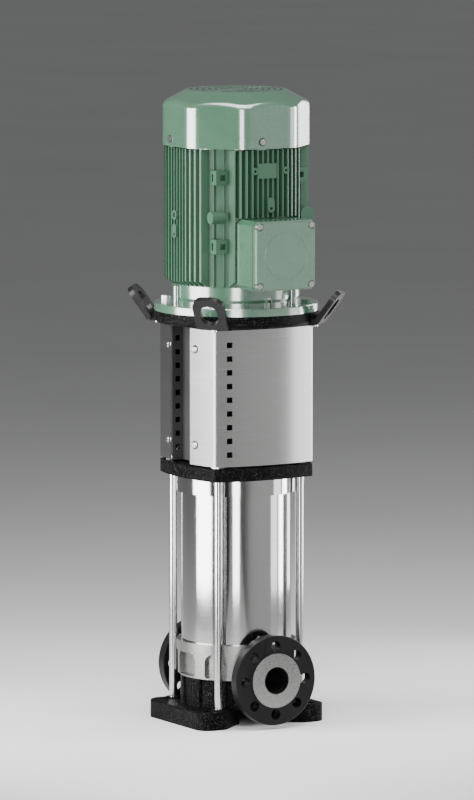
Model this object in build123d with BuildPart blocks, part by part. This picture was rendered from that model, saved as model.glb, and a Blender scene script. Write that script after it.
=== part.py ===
"""Vertical inline multistage pump with a flange-mounted electric motor, millimetres, +Z up.

The origin is on the pump axis at the underside of the foot. The nozzles lie along Y,
the terminal box faces -Y.
"""

import os
from math import cos, degrees, hypot, pi, radians, sin, tan

from build123d import *

os.makedirs("parts", exist_ok=True)

# Clearances between pieces
running_gap = 0.06
seat_gap = 0.1
loose_gap = 0.3
screw_gap = 0.05

# Foot casting
foot_length = 262.0
foot_width = 215.0
foot_thickness = 33.0
foot_corner_radius = 25.0
foot_edge_radius = 3.0
lobe_inner = 82.0
waist_half_width = 62.0
waist_half_length = 30.0
waist_radius = 22.0
foot_hole_spacing_x = 215.0
foot_hole_spacing_y = 175.0
foot_hole_diameter = 14.0
foot_recess_radius = 70.0
foot_recess_depth = 10.0
skirt_radius = 104.0
skirt_rib_depth = 5.0
skirt_rib_width = 21.0
skirt_rib_rounding = 4.0
skirt_rib_count = 12
skirt_height = 52.0
skirt_wall = 12.0
skirt_floor_thickness = 7.0
skirt_port_gap = 3.0
rod_boss_radius = 14.0
rod_boss_height = 2.5

# Pump housing casting
port_height = 90.0
port_bore_diameter = 50.0
port_face_distance = 150.0
stub_radius = 32.0
collar_radius = 50.0
collar_thickness = 10.0
tab_height = 15.0
tab_reach = 52.8
tab_thickness = 2.8
rim_thickness = 3.0
leg_height = 43.0
leg_width = 19.0
leg_depth = 9.0
leg_angles = (32.0, 68.0, 112.0, 148.0, 212.0, 248.0, 292.0, 328.0)
arch_radius = 15.0
sill_radius = 6.0
barrel_radius = 98.0
ring_radius = 109.5
ring_height = 19.0
housing_wall = 6.0
chamber_floor = 12.0
partition_radius = 64.0
partition_wall = 4.0
seat_depth = 12.0
bush_boss_radius = 24.0
bush_boss_height = 28.0
bush_wall = 7.0
bush_floor = 4.0
drain_rise = 18.0
drain_boss_margin = 2.0

# Loose flange rings
ring_face = 147.0
flange_ring_thickness = 20.0
flange_ring_radius = 82.5
ring_bolt_circle = 125.0
ring_hole_diameter = 19.0
ring_hole_count = 8
ring_edge_chamfer = 1.2
seam_width = 0.8
seam_bulge = 9.0
seam_offset = 14.0
seam_start = 20.0

# Sleeve and stage stack
sleeve_radius = 101.2
sleeve_wall = 3.0
seal_cord_radius = 1.9
seal_groove_width = 4.4
stage_count = 5
stage_height = 50.0
stage_radius = 88.0
stage_wall = 3.0
casing_floor = 3.0
diaphragm_rise = 38.0
diaphragm_margin = 4.0
spider_height = 36.0
spider_post_count = 6
spider_post_length = 10.0
spider_post_width = 18.0
spider_flange = 6.0
spider_flange_width = 16.0
impeller_radius = 72.0
impeller_hub_radius = 18.0
impeller_eye_radius = 32.0
impeller_neck_wall = 1.7
front_shroud_rise = 10.0
shroud_thickness = 2.5
channel_height = 15.0
blade_count = 6
blade_thickness = 3.0
blade_sweep = -55.0
blade_bulge = -12.0
vane_count = 8
vane_sweep = 40.0
vane_bulge = 10.0

# Pump head, plugs and shaft seal
head_height = 30.0
neck_radius = 55.0
seal_bore_radius = 30.0
gland_radius = 52.0
gland_thickness = 12.0
gland_screw_circle = 84.0
gland_screw_radius = 4.0
gland_screw_head_radius = 6.5
gland_screw_head = 8.0
gland_screw_length = 15.0
hex_socket_radius = 3.4
hex_socket_depth = 4.0
plug_radius = 6.0
plug_head_radius = 9.0
plug_collar = 2.0
plug_head_height = 6.0
vent_drop = 9.0
vent_plug_length = 18.0
drain_plug_length = 14.0
seal_face_drop = 14.0
seal_seat_radius = 20.0
seal_seat_depth = 10.0
seal_head_radius = 22.0
seal_head_height = 14.0
seal_nose_radius = 18.0

# Pump shaft
pump_shaft_radius = 12.0
shaft_collar_width = 4.0
shaft_collar_height = 8.0
shaft_end_chamfer = 1.5
shaft_nut_height = 12.0

# Tie rods
rod_offset = 85.0
rod_thread_radius = 8.0
rod_shank_radius = 7.35
rod_thread_length = 8.0
rod_engagement = 22.0
rod_nut_width = 24.0
rod_nut_height = 14.8
rod_stickout = 4.0

# Lantern casting
lantern_height = 302.3
lantern_floor_thickness = 24.0
lantern_floor_edge = 2.5
lantern_half_side = 102.5
side_bulge = 16.0
lantern_corner_radius = 5.0
top_plate_radius = 150.0
top_plate_thickness = 22.3
top_plate_edge_radius = 8.0
lantern_bore_radius = 65.0
spigot_inset = 35.0
spigot_height = 4.0
spigot_ring_width = 25.0
leg_centre = 60.0
leg_side = 24.0
leg_rounding = 4.0
arm_inner_y = 35.6
arm_outer_y = 58.0
arm_height = 22.0

# Coupling guards
guard_thickness = 1.5
guard_bottom_gap = 3.6
guard_top_gap = 3.8
guard_bend_radius = 4.0
guard_return_lean = 12.0
guard_free_edge_y = 36.0
guard_hole_side = 10.0
guard_hole_count = 9
guard_hole_x = 75.6
guard_hole_rise = 22.0
guard_hole_head = 26.6
guard_screw_inset = 14.0
guard_screw_rise = 36.4
guard_screw_head = 37.2
guard_screw_radius = 6.0
guard_screw_rim = 1.6
guard_screw_dome = 2.2
guard_screw_shank_radius = 3.0
guard_screw_length = 14.0
channel_web_x = 91.0
channel_depth = 24.0
channel_bend_radius = 2.0

# Lifting lugs
lug_overhang = 11.0
lug_lean = 36.0
lug_thickness = 10.0
lug_length = 70.0
lug_width = 58.0
lug_corner_radius = 20.0
lug_hole_width = 32.0
lug_hole_length = 45.0
lug_hole_rise = 33.0
lug_foot_inset = 9.0
lug_foot_thickness = 9.0
lug_foot_width = 46.0
lug_foot_step = 1.0
lug_pocket_length = 40.0
lug_ear_overhang = 4.0
lug_ear_height = 12.0
lug_screw_inset = 8.5
lug_screw_head_radius = 5.0
lug_screw_head = 4.5
lug_screw_shank_radius = 3.0
lug_screw_engagement = 10.0

# Motor flange and drive-end shield
motor_flange_thickness = 14.2
flange_edge_chamfer = 1.2
flange_bolt_inset = 17.5
flange_bolt_radius = 6.0
flange_bolt_width = 18.0
flange_bolt_head = 7.5
flange_bolt_grip = 30.0
flange_bolt_clearance = 0.75
flange_neck_inset = 18.5
flange_neck_height = 6.0
shield_step = 1.0
shield_height = 35.5
shield_wall = 10.0
shield_boss_angles = (31.0, 83.0, 211.0, 263.0)
shield_boss_radius = 8.0
shield_boss_drop = 3.0
shield_rib_spacing = 10.0
shield_rib_width = 3.0
shield_rib_reach = 6.0
shield_rib_height = 16.5

# Motor housing
housing_height = 250.0
core_radius = 117.0
core_wall = 9.0
fin_pitch = 10.4
fin_thickness = 3.2
fins_per_side = 14
fin_root_depth = 30.0
fin_tip_radius = 131.5
fin_flat_distance = 126.5
fin_slant_height = 12.0
rail_height = 3.0
rail_width = 2.6
rail_spread = 4.5
block_side = 27.5
block_corner = 95.5
block_rises = (62.0, 187.0)
block_height = 26.0
block_hole_width = 6.0
block_hole_length = 15.0
block_hole_depth = 8.0
block_pocket_side = 10.0
boss_rise = 128.0
boss_centre = 90.0
boss_end = 105.0
corner_boss_radius = 11.0
front_boss_radius = 14.5
pad_standout = 1.0
pad_width = 38.0
pad_height = 27.0
pad_offset = -7.0
pad_rise = 212.0
pad_screw_offset = 32.0
pad_screw_radius = 6.5
oblong_width = 14.0
oblong_length = 27.0
oblong_standout = 3.0
oblong_front_rise = 150.0
oblong_side_rise = 99.0
oblong_hole_radius = 2.6
oblong_hole_drop = 6.0
ring_boss_radius = 9.0
ring_boss_hole_radius = 4.5
pedestal_half_width = 48.0
pedestal_face = 121.0

# Stator, rotor, motor shaft and bearings
air_gap = 0.5
rotor_radius = 66.0
core_drive_space = 40.0
core_rear_space = 50.0
winding_outer_gap = 8.0
winding_inner_gap = 6.0
winding_height = 26.0
winding_edge_radius = 8.0
end_ring_height = 6.0
end_ring_inset = 4.0
end_ring_width = 16.0
shaft_radius = 19.0
shaft_extension = 80.0
shaft_seat_radius = 20.0
shaft_shoulder = 4.0
fan_journal_step = 2.0
bearing_bore_radius = 20.0
bearing_outer_radius = 40.0
bearing_width = 18.0
bearing_lip = 3.0
bearing_relief = 1.5
bearing_floor = 5.0
bearing_setback = 8.0
bearing_hub_wall = 10.0
ball_radius = 5.5
ball_count = 8
race_depth = 2.2
rear_shield_thickness = 12.0

# Fan and fan cover
fan_radius = 104.0
fan_disc_inset = 6.0
fan_disc_thickness = 3.0
fan_hub_radius = 30.0
fan_hub_gap = 14.0
fan_blade_count = 7
fan_blade_root = 26.0
fan_blade_height = 26.0
fan_blade_thickness = 3.0
shaft_stub_length = 6.0
cover_gap = 2.0
cover_apothem = 128.0
cover_corner_radius = 134.6
cover_height = 100.5
cover_wall_height = 78.0
cover_thickness = 2.0
cover_shoulder_radius = 14.0
grille_radius = 92.0
slot_rows = 7
slot_width = 5.0
slot_row_pitch = 11.0
slot_rim = 9.0
slot_web = 3.2
slot_arc_length = 21.0
cover_screw_rise = 13.0
cover_screw_offset = 18.0
cover_screw_radius = 3.0
cover_screw_head_radius = 5.4
cover_screw_head = 2.5
cover_screw_length = 15.0
cover_lug_half = 9.0
cover_lug_depth = 20.0

# Terminal box
box_width = 126.0
box_height = 126.0
box_drop = 0.5
box_back = 97.0
box_face = 182.0
box_chamfer = 8.0
box_wall = 6.0
box_shoulder_depth = 15.5
box_shoulder_inset = 2.0
lid_thickness = 10.5
lid_panel_height = 4.0
lid_panel_inset = 3.0
lid_circle_radius = 43.0
lid_groove_width = 1.0
lid_groove_depth = 0.6
lid_screw_inset = 9.0
lid_screw_radius = 2.5
lid_screw_head_radius = 5.0
lid_screw_head = 3.5
lid_screw_grip = 10.0
lid_pocket_radius = 8.0
box_post_radius = 6.0
box_post_length = 20.0
gasket_thickness = 1.5
gasket_inset = 1.0
plug_spacing = 44.0
plug_setback = 48.0
blanking_plug_radius = 14.0
blanking_hex_width = 32.0
blanking_hex_height = 5.0
board_width = 80.0
board_height = 50.0
board_thickness = 10.0
stud_radius = 3.0
stud_length = 16.0
stud_pitch_x = 24.0
stud_pitch_z = 26.0

# Shaft coupling
coupling_radius = 38.0
coupling_grip = 58.0
coupling_shaft_gap = 24.0
coupling_gap = 0.5
coupling_ear = 52.0
coupling_ear_width = 30.0
coupling_screw_y = 44.0
coupling_screw_margin = 18.0
coupling_screw_radius = 4.0
coupling_screw_head_radius = 6.5
coupling_screw_head = 8.0

# Heights worked out from the floor up
skirt_top = foot_thickness + skirt_height
bowl_bottom = foot_thickness + skirt_floor_thickness
leg_bottom = skirt_top + rim_thickness
ring_bottom = leg_bottom + leg_height
ring_top = ring_bottom + ring_height
sleeve_bottom = ring_top - seat_depth
stack_bottom = ring_top
stack_top = stack_bottom + stage_count * stage_height
sleeve_top = stack_top + spider_height
head_bottom = sleeve_top - seat_depth
floor_bottom = head_bottom + head_height
floor_top = floor_bottom + lantern_floor_thickness
lantern_top = floor_bottom + lantern_height
top_plate_bottom = lantern_top - top_plate_thickness
guard_bottom = floor_top + guard_bottom_gap
guard_top = top_plate_bottom - guard_top_gap
flange_top = lantern_top + motor_flange_thickness
housing_bottom = flange_top + shield_height
housing_top = housing_bottom + housing_height
cover_bottom = housing_top + cover_gap
cover_top = cover_bottom + cover_height
rear_shield_top = housing_top + rear_shield_thickness
rod_bottom = foot_thickness + rod_boss_height - rod_engagement
rod_top = floor_top + rod_nut_height + rod_stickout
shaft_bottom = lantern_top - shaft_extension
pump_shaft_top = shaft_bottom - coupling_shaft_gap
drive_bearing_bottom = flange_top + bearing_floor
drive_bearing_top = drive_bearing_bottom + bearing_width
rear_bearing_bottom = housing_top - bearing_setback
rear_bearing_top = rear_bearing_bottom + bearing_width
stator_bottom = housing_bottom + core_drive_space
stator_top = housing_top - core_rear_space
core_stack_height = stator_top - stator_bottom
box_bottom = housing_bottom - box_drop
box_top = box_bottom + box_height
box_middle = (box_bottom + box_top) / 2
lid_back = box_face - lid_thickness
gasket_back = lid_back - gasket_thickness

# Radii that follow from the round top plate and from the motor barrel
spigot_radius = top_plate_radius - spigot_inset
flange_bolt_offset = (top_plate_radius - flange_bolt_inset) * cos(radians(45))
flange_neck_radius = top_plate_radius - flange_bolt_inset - flange_neck_inset
shield_radius = core_radius - shield_step
lug_bottom_radius = top_plate_radius + lug_overhang
lug_foot_inner = top_plate_radius - lug_foot_inset
lug_ear_reach = top_plate_radius + lug_ear_overhang
lug_screw_reach = lug_foot_inner + lug_screw_inset


def write_step(piece, name):
    """Label a finished piece and write it to its own file."""
    piece.part.label = name
    export_step(piece.part, f"parts/{name}.step")


def side_plane(angle, distance, height):
    """Give an upright plane that faces outwards, at an angle from -Y towards +X."""
    outward = (sin(radians(angle)), -cos(radians(angle)), 0)
    return Plane(
        origin=(distance * outward[0], distance * outward[1], height),
        x_dir=(cos(radians(angle)), sin(radians(angle)), 0),
        z_dir=outward,
    )


# Foot: a four-lobed plate with a ribbed skirt that carries the housing
foot_corners = [
    (-foot_length / 2, -foot_width / 2),
    (-lobe_inner, -foot_width / 2),
    (-waist_half_length, -waist_half_width),
    (waist_half_length, -waist_half_width),
    (lobe_inner, -foot_width / 2),
    (foot_length / 2, -foot_width / 2),
]
foot_outline_points = foot_corners + [(-x, -y) for x, y in foot_corners]

with BuildPart() as base_foot:
    with BuildSketch():
        with BuildLine():
            Polyline(*foot_outline_points, close=True)
        make_face()
        outer_corners = [v for v in vertices() if abs(v.X) > foot_length / 2 - 1]
        fillet(outer_corners, foot_corner_radius)
    extrude(amount=foot_thickness)
    waist_edges = base_foot.edges().filter_by(Axis.Z).filter_by(
        lambda edge: abs(edge.center().X) < lobe_inner + 1
    )
    fillet(waist_edges, waist_radius)
    fillet(base_foot.faces().sort_by(Axis.Z)[-1].edges(), foot_edge_radius)
    with BuildSketch(Plane.XY.offset(foot_thickness - foot_edge_radius)):
        Circle(skirt_radius - skirt_rib_depth)
        with PolarLocations(skirt_radius - skirt_rib_depth, skirt_rib_count, start_angle=15):
            RectangleRounded(2 * skirt_rib_depth, skirt_rib_width, skirt_rib_rounding)
    extrude(amount=skirt_height + foot_edge_radius)
    with BuildSketch(Plane.XY.offset(foot_thickness)):
        with GridLocations(2 * rod_offset, 2 * rod_offset, 2, 2):
            Circle(rod_boss_radius)
    extrude(amount=rod_boss_height)
    with BuildSketch(Plane.XY.offset(bowl_bottom)):
        Circle(skirt_radius - skirt_wall)
    extrude(amount=skirt_top, mode=Mode.SUBTRACT)
    with BuildSketch(Plane.XZ):
        with Locations((0, port_height)):
            Circle(stub_radius + skirt_port_gap)
    extrude(amount=foot_width, both=True, mode=Mode.SUBTRACT)
    with BuildSketch():
        Circle(foot_recess_radius)
    extrude(amount=foot_recess_depth, mode=Mode.SUBTRACT)
    with BuildSketch():
        with GridLocations(foot_hole_spacing_x, foot_hole_spacing_y, 2, 2):
            Circle(foot_hole_diameter / 2)
    extrude(amount=foot_thickness, mode=Mode.SUBTRACT)
    with BuildSketch(Plane.XY.offset(rod_bottom)):
        with GridLocations(2 * rod_offset, 2 * rod_offset, 2, 2):
            Circle(rod_thread_radius + screw_gap)
    extrude(amount=rod_engagement, mode=Mode.SUBTRACT)
write_step(base_foot, "base_foot")

# Legs of the pump housing: a band with an arched window between each two legs
chamber_bottom = bowl_bottom + chamber_floor
bowl_radius = skirt_radius - skirt_wall - loose_gap
chamber_radius = bowl_radius - housing_wall
seal_groove_radius = sleeve_radius + 2 * seal_cord_radius + 0.2
housing_seal_height = ring_top - seat_depth / 2
head_seal_height = head_bottom + seat_depth / 2
leg_middle_radius = barrel_radius + leg_depth / 2

with BuildPart() as leg_band:
    with BuildSketch(Plane.XY.offset(leg_bottom)):
        Circle(barrel_radius + leg_depth)
        Circle(barrel_radius - 1, mode=Mode.SUBTRACT)
    extrude(amount=leg_height)
    for left, right in zip(leg_angles, leg_angles[1:] + (leg_angles[0] + 360,)):
        half_gap = radians((right - left) / 2)
        window_half = leg_middle_radius * sin(half_gap) - leg_width / 2 * cos(half_gap)
        with BuildSketch(side_plane((left + right) / 2, barrel_radius / 2, leg_bottom + leg_height / 2)):
            Rectangle(2 * window_half, leg_height)
            fillet([v for v in vertices() if v.Y > 0], arch_radius)
            fillet([v for v in vertices() if v.Y < -leg_height / 2 + 1], sill_radius)
        extrude(amount=barrel_radius, mode=Mode.SUBTRACT)

# Pump housing: bowl, ring on legs, partition, nozzle stubs with raised-face collars
with BuildPart() as pump_housing:
    with BuildSketch(Plane.XZ):
        with BuildLine():
            Polyline(
                (0, bowl_bottom),
                (bowl_radius, bowl_bottom),
                (bowl_radius, skirt_top),
                (skirt_radius, skirt_top),
                (skirt_radius, leg_bottom),
                (barrel_radius, leg_bottom),
                (barrel_radius, ring_bottom),
                (ring_radius, ring_bottom),
                (ring_radius, ring_top),
                (sleeve_radius + seat_gap, ring_top),
                (sleeve_radius + seat_gap, sleeve_bottom),
                (chamber_radius, sleeve_bottom),
                (chamber_radius, chamber_bottom),
                (partition_radius, chamber_bottom),
                (partition_radius, stack_bottom),
                (partition_radius - partition_wall, stack_bottom),
                (partition_radius - partition_wall, chamber_bottom),
                (bush_boss_radius, chamber_bottom),
                (bush_boss_radius, chamber_bottom + bush_boss_height),
                (0, chamber_bottom + bush_boss_height),
                close=True,
            )
        make_face()
    revolve(axis=Axis.Z)
    add(leg_band.part)
    # Suction stub, on -Y, runs through the ring chamber into the middle one
    with BuildSketch(side_plane(0, partition_radius - 2, port_height)):
        Circle(stub_radius)
    extrude(amount=port_face_distance - partition_radius + 2)
    # Discharge stub, on +Y, opens into the ring chamber
    with BuildSketch(side_plane(180, chamber_radius + 2, port_height)):
        Circle(stub_radius)
    extrude(amount=port_face_distance - chamber_radius - 2)
    # Collars with the raised faces, each with a tab on the side towards +X
    for turn in (0, 180):
        tab_side = cos(radians(turn))
        with BuildSketch(side_plane(turn, port_face_distance - collar_thickness, port_height)):
            Circle(collar_radius)
        extrude(amount=collar_thickness)
        with BuildSketch(side_plane(turn, port_face_distance - tab_thickness, port_height)):
            with Locations((tab_side * tab_reach / 2, 0)):
                Rectangle(tab_reach, tab_height)
        extrude(amount=tab_thickness)
    with BuildSketch(side_plane(0, partition_radius - partition_wall - 6, port_height)):
        Circle(port_bore_diameter / 2)
    extrude(amount=port_face_distance, mode=Mode.SUBTRACT)
    with BuildSketch(side_plane(180, chamber_radius - 6, port_height)):
        Circle(port_bore_diameter / 2)
    extrude(amount=port_face_distance, mode=Mode.SUBTRACT)
    # Seat of the bottom bush
    with BuildSketch(Plane.XY.offset(chamber_bottom + bush_floor)):
        Circle(bush_boss_radius - bush_wall)
    extrude(amount=bush_boss_height, mode=Mode.SUBTRACT)
    # Groove of the sleeve seal
    with BuildSketch(Plane.XZ):
        with Locations((sleeve_radius + seal_cord_radius, housing_seal_height)):
            Rectangle(2 * (seal_groove_radius - sleeve_radius - seal_cord_radius), seal_groove_width)
    revolve(axis=Axis.Z, mode=Mode.SUBTRACT)
    # Drain boss and its hole
    with BuildSketch(side_plane(90, barrel_radius - 3, skirt_top + drain_rise)):
        Circle(plug_head_radius + drain_boss_margin)
    extrude(amount=leg_depth)
    with BuildSketch(side_plane(90, barrel_radius - 3 + leg_depth, skirt_top + drain_rise)):
        Circle(plug_radius + screw_gap)
    extrude(amount=-leg_depth - 6, mode=Mode.SUBTRACT)
write_step(pump_housing, "pump_housing")


def flange_ring(turn, name):
    """Make one loose ring of two halves, joined by curved seams, behind its collar."""
    recess_depth = ring_face - port_face_distance + collar_thickness + seat_gap
    face_plane = side_plane(turn, ring_face, port_height)
    seam_end = flange_ring_radius + 2
    with BuildPart() as ring:
        with BuildSketch(face_plane):
            Circle(flange_ring_radius)
            Circle(stub_radius + running_gap, mode=Mode.SUBTRACT)
            with PolarLocations(ring_bolt_circle / 2, ring_hole_count):
                Circle(ring_hole_diameter / 2, mode=Mode.SUBTRACT)
        extrude(amount=-flange_ring_thickness)
        with BuildSketch(face_plane):
            Circle(collar_radius + loose_gap)
        extrude(amount=-recess_depth, mode=Mode.SUBTRACT)
        outer_edges = ring.edges().filter_by(GeomType.CIRCLE).filter_by(
            lambda edge: abs(edge.radius - flange_ring_radius) < 0.01
        )
        chamfer(outer_edges, ring_edge_chamfer)
        with BuildSketch(face_plane):
            for half_turn in (0, 180):
                with Locations(Location((0, 0, 0), (0, 0, half_turn))):
                    with BuildSketch(mode=Mode.PRIVATE) as seam:
                        with BuildLine():
                            inner = SagittaArc(
                                (-seam_offset, seam_start), (-seam_offset, seam_end), seam_bulge
                            )
                            outer = SagittaArc(
                                (-seam_offset - seam_width, seam_start),
                                (-seam_offset - seam_width, seam_end),
                                seam_bulge,
                            )
                            Line(inner @ 0, outer @ 0)
                            Line(inner @ 1, outer @ 1)
                        make_face()
                    add(seam.sketch)
        extrude(amount=-flange_ring_thickness, mode=Mode.SUBTRACT)
    write_step(ring, name)


flange_ring(0, "suction_flange_ring")
flange_ring(180, "discharge_flange_ring")

# Sleeve and its two seals
with BuildPart() as outer_sleeve:
    with BuildSketch(Plane.XY.offset(sleeve_bottom)):
        Circle(sleeve_radius)
        Circle(sleeve_radius - sleeve_wall, mode=Mode.SUBTRACT)
    extrude(amount=sleeve_top - sleeve_bottom)
write_step(outer_sleeve, "outer_sleeve")

with BuildPart() as sleeve_seals:
    with BuildSketch(Plane.XZ):
        with Locations(
            (sleeve_radius + seal_cord_radius + seat_gap, housing_seal_height),
            (sleeve_radius + seal_cord_radius + seat_gap, head_seal_height),
        ):
            RegularPolygon(seal_cord_radius, 8)
    revolve(axis=Axis.Z)
write_step(sleeve_seals, "sleeve_seals")

# Bottom bush, pressed in the boss
bush_bottom = chamber_bottom + bush_floor
with BuildPart() as bottom_bush:
    with BuildSketch(Plane.XY.offset(bush_bottom)):
        Circle(bush_boss_radius - bush_wall - screw_gap)
        Circle(pump_shaft_radius + running_gap, mode=Mode.SUBTRACT)
    extrude(amount=bush_boss_height - bush_floor)
write_step(bottom_bush, "bottom_bush")


def curved_blade(inner_radius, outer_radius, sweep, thickness, bulge):
    """Sketch one curved blade between two radii."""
    tip = (outer_radius * cos(radians(sweep)), outer_radius * sin(radians(sweep)))
    chord = hypot(tip[0] - inner_radius, tip[1])
    shift_x = -tip[1] / chord * thickness
    shift_y = (tip[0] - inner_radius) / chord * thickness
    with BuildSketch(mode=Mode.PRIVATE) as blade:
        with BuildLine():
            front = SagittaArc((inner_radius, 0), tip, bulge)
            back = SagittaArc((inner_radius + shift_x, shift_y), (tip[0] + shift_x, tip[1] + shift_y), bulge)
            Line(front @ 0, back @ 0)
            Line(front @ 1, back @ 1)
        make_face()
    return blade.sketch


# Stages: a casing with its return vanes, and an impeller, for each
neck_hole_radius = impeller_eye_radius + impeller_neck_wall + loose_gap
back_shroud_rise = front_shroud_rise + shroud_thickness + channel_height
vane = curved_blade(neck_hole_radius, stage_radius - stage_wall / 2, vane_sweep, blade_thickness, vane_bulge)
blade = curved_blade(impeller_eye_radius - 4, impeller_radius - 3, blade_sweep, blade_thickness, blade_bulge)

for number in range(1, stage_count + 1):
    stage_floor = stack_bottom + (number - 1) * stage_height
    with BuildPart() as stage_casing:
        with BuildSketch(Plane.XY.offset(stage_floor)):
            Circle(stage_radius)
            Circle(neck_hole_radius, mode=Mode.SUBTRACT)
        extrude(amount=casing_floor)
        with BuildSketch(Plane.XY.offset(stage_floor)):
            Circle(stage_radius)
            Circle(stage_radius - stage_wall, mode=Mode.SUBTRACT)
        extrude(amount=stage_height)
        with BuildSketch(Plane.XY.offset(stage_floor + diaphragm_rise)):
            Circle(impeller_radius + diaphragm_margin)
            Circle(impeller_hub_radius + loose_gap, mode=Mode.SUBTRACT)
        extrude(amount=casing_floor)
        with BuildSketch(Plane.XY.offset(stage_floor + diaphragm_rise)):
            with PolarLocations(0, vane_count):
                add(vane)
        extrude(amount=stage_height - diaphragm_rise)
    write_step(stage_casing, f"stage_casing_{number}")

    with BuildPart() as impeller:
        with BuildSketch(Plane.XY.offset(stage_floor)):
            Circle(impeller_hub_radius)
        extrude(amount=stage_height)
        with BuildSketch(Plane.XY.offset(stage_floor + back_shroud_rise)):
            Circle(impeller_radius)
        extrude(amount=shroud_thickness)
        with BuildSketch(Plane.XY.offset(stage_floor + front_shroud_rise)):
            Circle(impeller_radius)
            Circle(impeller_eye_radius, mode=Mode.SUBTRACT)
        extrude(amount=shroud_thickness)
        with BuildSketch(Plane.XY.offset(stage_floor + 1)):
            Circle(impeller_eye_radius + impeller_neck_wall)
            Circle(impeller_eye_radius, mode=Mode.SUBTRACT)
        extrude(amount=front_shroud_rise)
        with BuildSketch(Plane.XY.offset(stage_floor + front_shroud_rise + 1)):
            with PolarLocations(0, blade_count):
                add(blade)
        extrude(amount=channel_height + 3)
        with BuildSketch(Plane.XY.offset(stage_floor)):
            Circle(pump_shaft_radius + screw_gap)
        extrude(amount=stage_height, mode=Mode.SUBTRACT)
    write_step(impeller, f"impeller_{number}")

# Discharge spider between the last stage and the head
with BuildPart() as discharge_spider:
    with BuildSketch(Plane.XY.offset(stack_top)):
        Circle(stage_radius)
        Circle(impeller_hub_radius + 2, mode=Mode.SUBTRACT)
    extrude(amount=casing_floor)
    with BuildSketch(Plane.XY.offset(stack_top)):
        with PolarLocations(stage_radius - spider_post_length / 2 - 2, spider_post_count):
            RectangleRounded(spider_post_length, spider_post_width, 3)
    extrude(amount=spider_height)
    with BuildSketch(Plane.XY.offset(sleeve_top - spider_flange)):
        Circle(stage_radius)
        Circle(stage_radius - spider_flange_width, mode=Mode.SUBTRACT)
    extrude(amount=spider_flange)
write_step(discharge_spider, "discharge_spider")

# Pump head with the seal chamber and the neck that centres the lantern
vent_height = floor_bottom - vent_drop
with BuildPart() as pump_head:
    with BuildSketch(Plane.XZ):
        with BuildLine():
            Polyline(
                (seal_bore_radius, sleeve_top),
                (sleeve_radius + seat_gap, sleeve_top),
                (sleeve_radius + seat_gap, head_bottom),
                (ring_radius, head_bottom),
                (ring_radius, floor_bottom),
                (neck_radius, floor_bottom),
                (neck_radius, floor_top),
                (seal_bore_radius, floor_top),
                close=True,
            )
        make_face()
    revolve(axis=Axis.Z)
    with BuildSketch(Plane.XZ):
        with Locations((sleeve_radius + seal_cord_radius, head_seal_height)):
            Rectangle(2 * (seal_groove_radius - sleeve_radius - seal_cord_radius), seal_groove_width)
    revolve(axis=Axis.Z, mode=Mode.SUBTRACT)
    with BuildSketch(side_plane(90, ring_radius, vent_height)):
        Circle(plug_radius + screw_gap)
    extrude(amount=-vent_plug_length - 4, mode=Mode.SUBTRACT)
    with BuildSketch(Plane.XY.offset(floor_top)):
        with PolarLocations(gland_screw_circle / 2, 4, start_angle=45):
            Circle(gland_screw_radius + screw_gap)
    extrude(amount=-gland_screw_length - 1, mode=Mode.SUBTRACT)
write_step(pump_head, "pump_head")


def hex_plug(plane, shank_length, name):
    """Make a screwed plug whose hexagon sits on the given plane."""
    with BuildPart() as plug:
        with BuildSketch(plane):
            Circle(plug_head_radius)
        extrude(amount=plug_collar)
        with BuildSketch(plane.offset(plug_collar)):
            RegularPolygon(plug_head_radius, 6)
        extrude(amount=plug_head_height)
        with BuildSketch(plane):
            Circle(plug_radius)
        extrude(amount=-shank_length)
    write_step(plug, name)


hex_plug(side_plane(90, ring_radius, vent_height), vent_plug_length, "vent_plug")
hex_plug(
    side_plane(90, barrel_radius - 3 + leg_depth, skirt_top + drain_rise), drain_plug_length, "drain_plug"
)

# Shaft seal: stationary seat in the gland, rotating head on the shaft
seal_face_height = floor_top - seal_face_drop
seal_seat_top = seal_face_height + seal_seat_depth
gland_skirt_radius = seal_bore_radius - loose_gap
gland_top = floor_top + gland_thickness
with BuildPart() as seal_gland:
    with BuildSketch(Plane.XZ):
        with BuildLine():
            Polyline(
                (pump_shaft_radius + 1, seal_seat_top),
                (seal_seat_radius + seat_gap, seal_seat_top),
                (seal_seat_radius + seat_gap, seal_face_height),
                (gland_skirt_radius, seal_face_height),
                (gland_skirt_radius, floor_top),
                (gland_radius, floor_top),
                (gland_radius, gland_top),
                (pump_shaft_radius + 1, gland_top),
                close=True,
            )
        make_face()
    revolve(axis=Axis.Z)
    with BuildSketch(Plane.XY.offset(floor_top)):
        with PolarLocations(gland_screw_circle / 2, 4, start_angle=45):
            Circle(gland_screw_radius + screw_gap)
    extrude(amount=gland_thickness, mode=Mode.SUBTRACT)
write_step(seal_gland, "seal_gland")

with BuildPart() as seal_gland_screws:
    with BuildSketch(Plane.XY.offset(floor_top - gland_screw_length)):
        with PolarLocations(gland_screw_circle / 2, 4, start_angle=45):
            Circle(gland_screw_radius)
    extrude(amount=gland_screw_length + gland_thickness)
    with BuildSketch(Plane.XY.offset(gland_top)):
        with PolarLocations(gland_screw_circle / 2, 4, start_angle=45):
            Circle(gland_screw_head_radius)
    extrude(amount=gland_screw_head)
    with BuildSketch(Plane.XY.offset(gland_top + gland_screw_head)):
        with PolarLocations(gland_screw_circle / 2, 4, start_angle=45):
            RegularPolygon(hex_socket_radius, 6)
    extrude(amount=-hex_socket_depth, mode=Mode.SUBTRACT)
write_step(seal_gland_screws, "seal_gland_screws")

with BuildPart() as seal_seat:
    with BuildSketch(Plane.XY.offset(seal_face_height + seat_gap)):
        Circle(seal_seat_radius)
        Circle(pump_shaft_radius + 0.6, mode=Mode.SUBTRACT)
    extrude(amount=seal_seat_depth - seat_gap)
write_step(seal_seat, "seal_seat")

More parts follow.
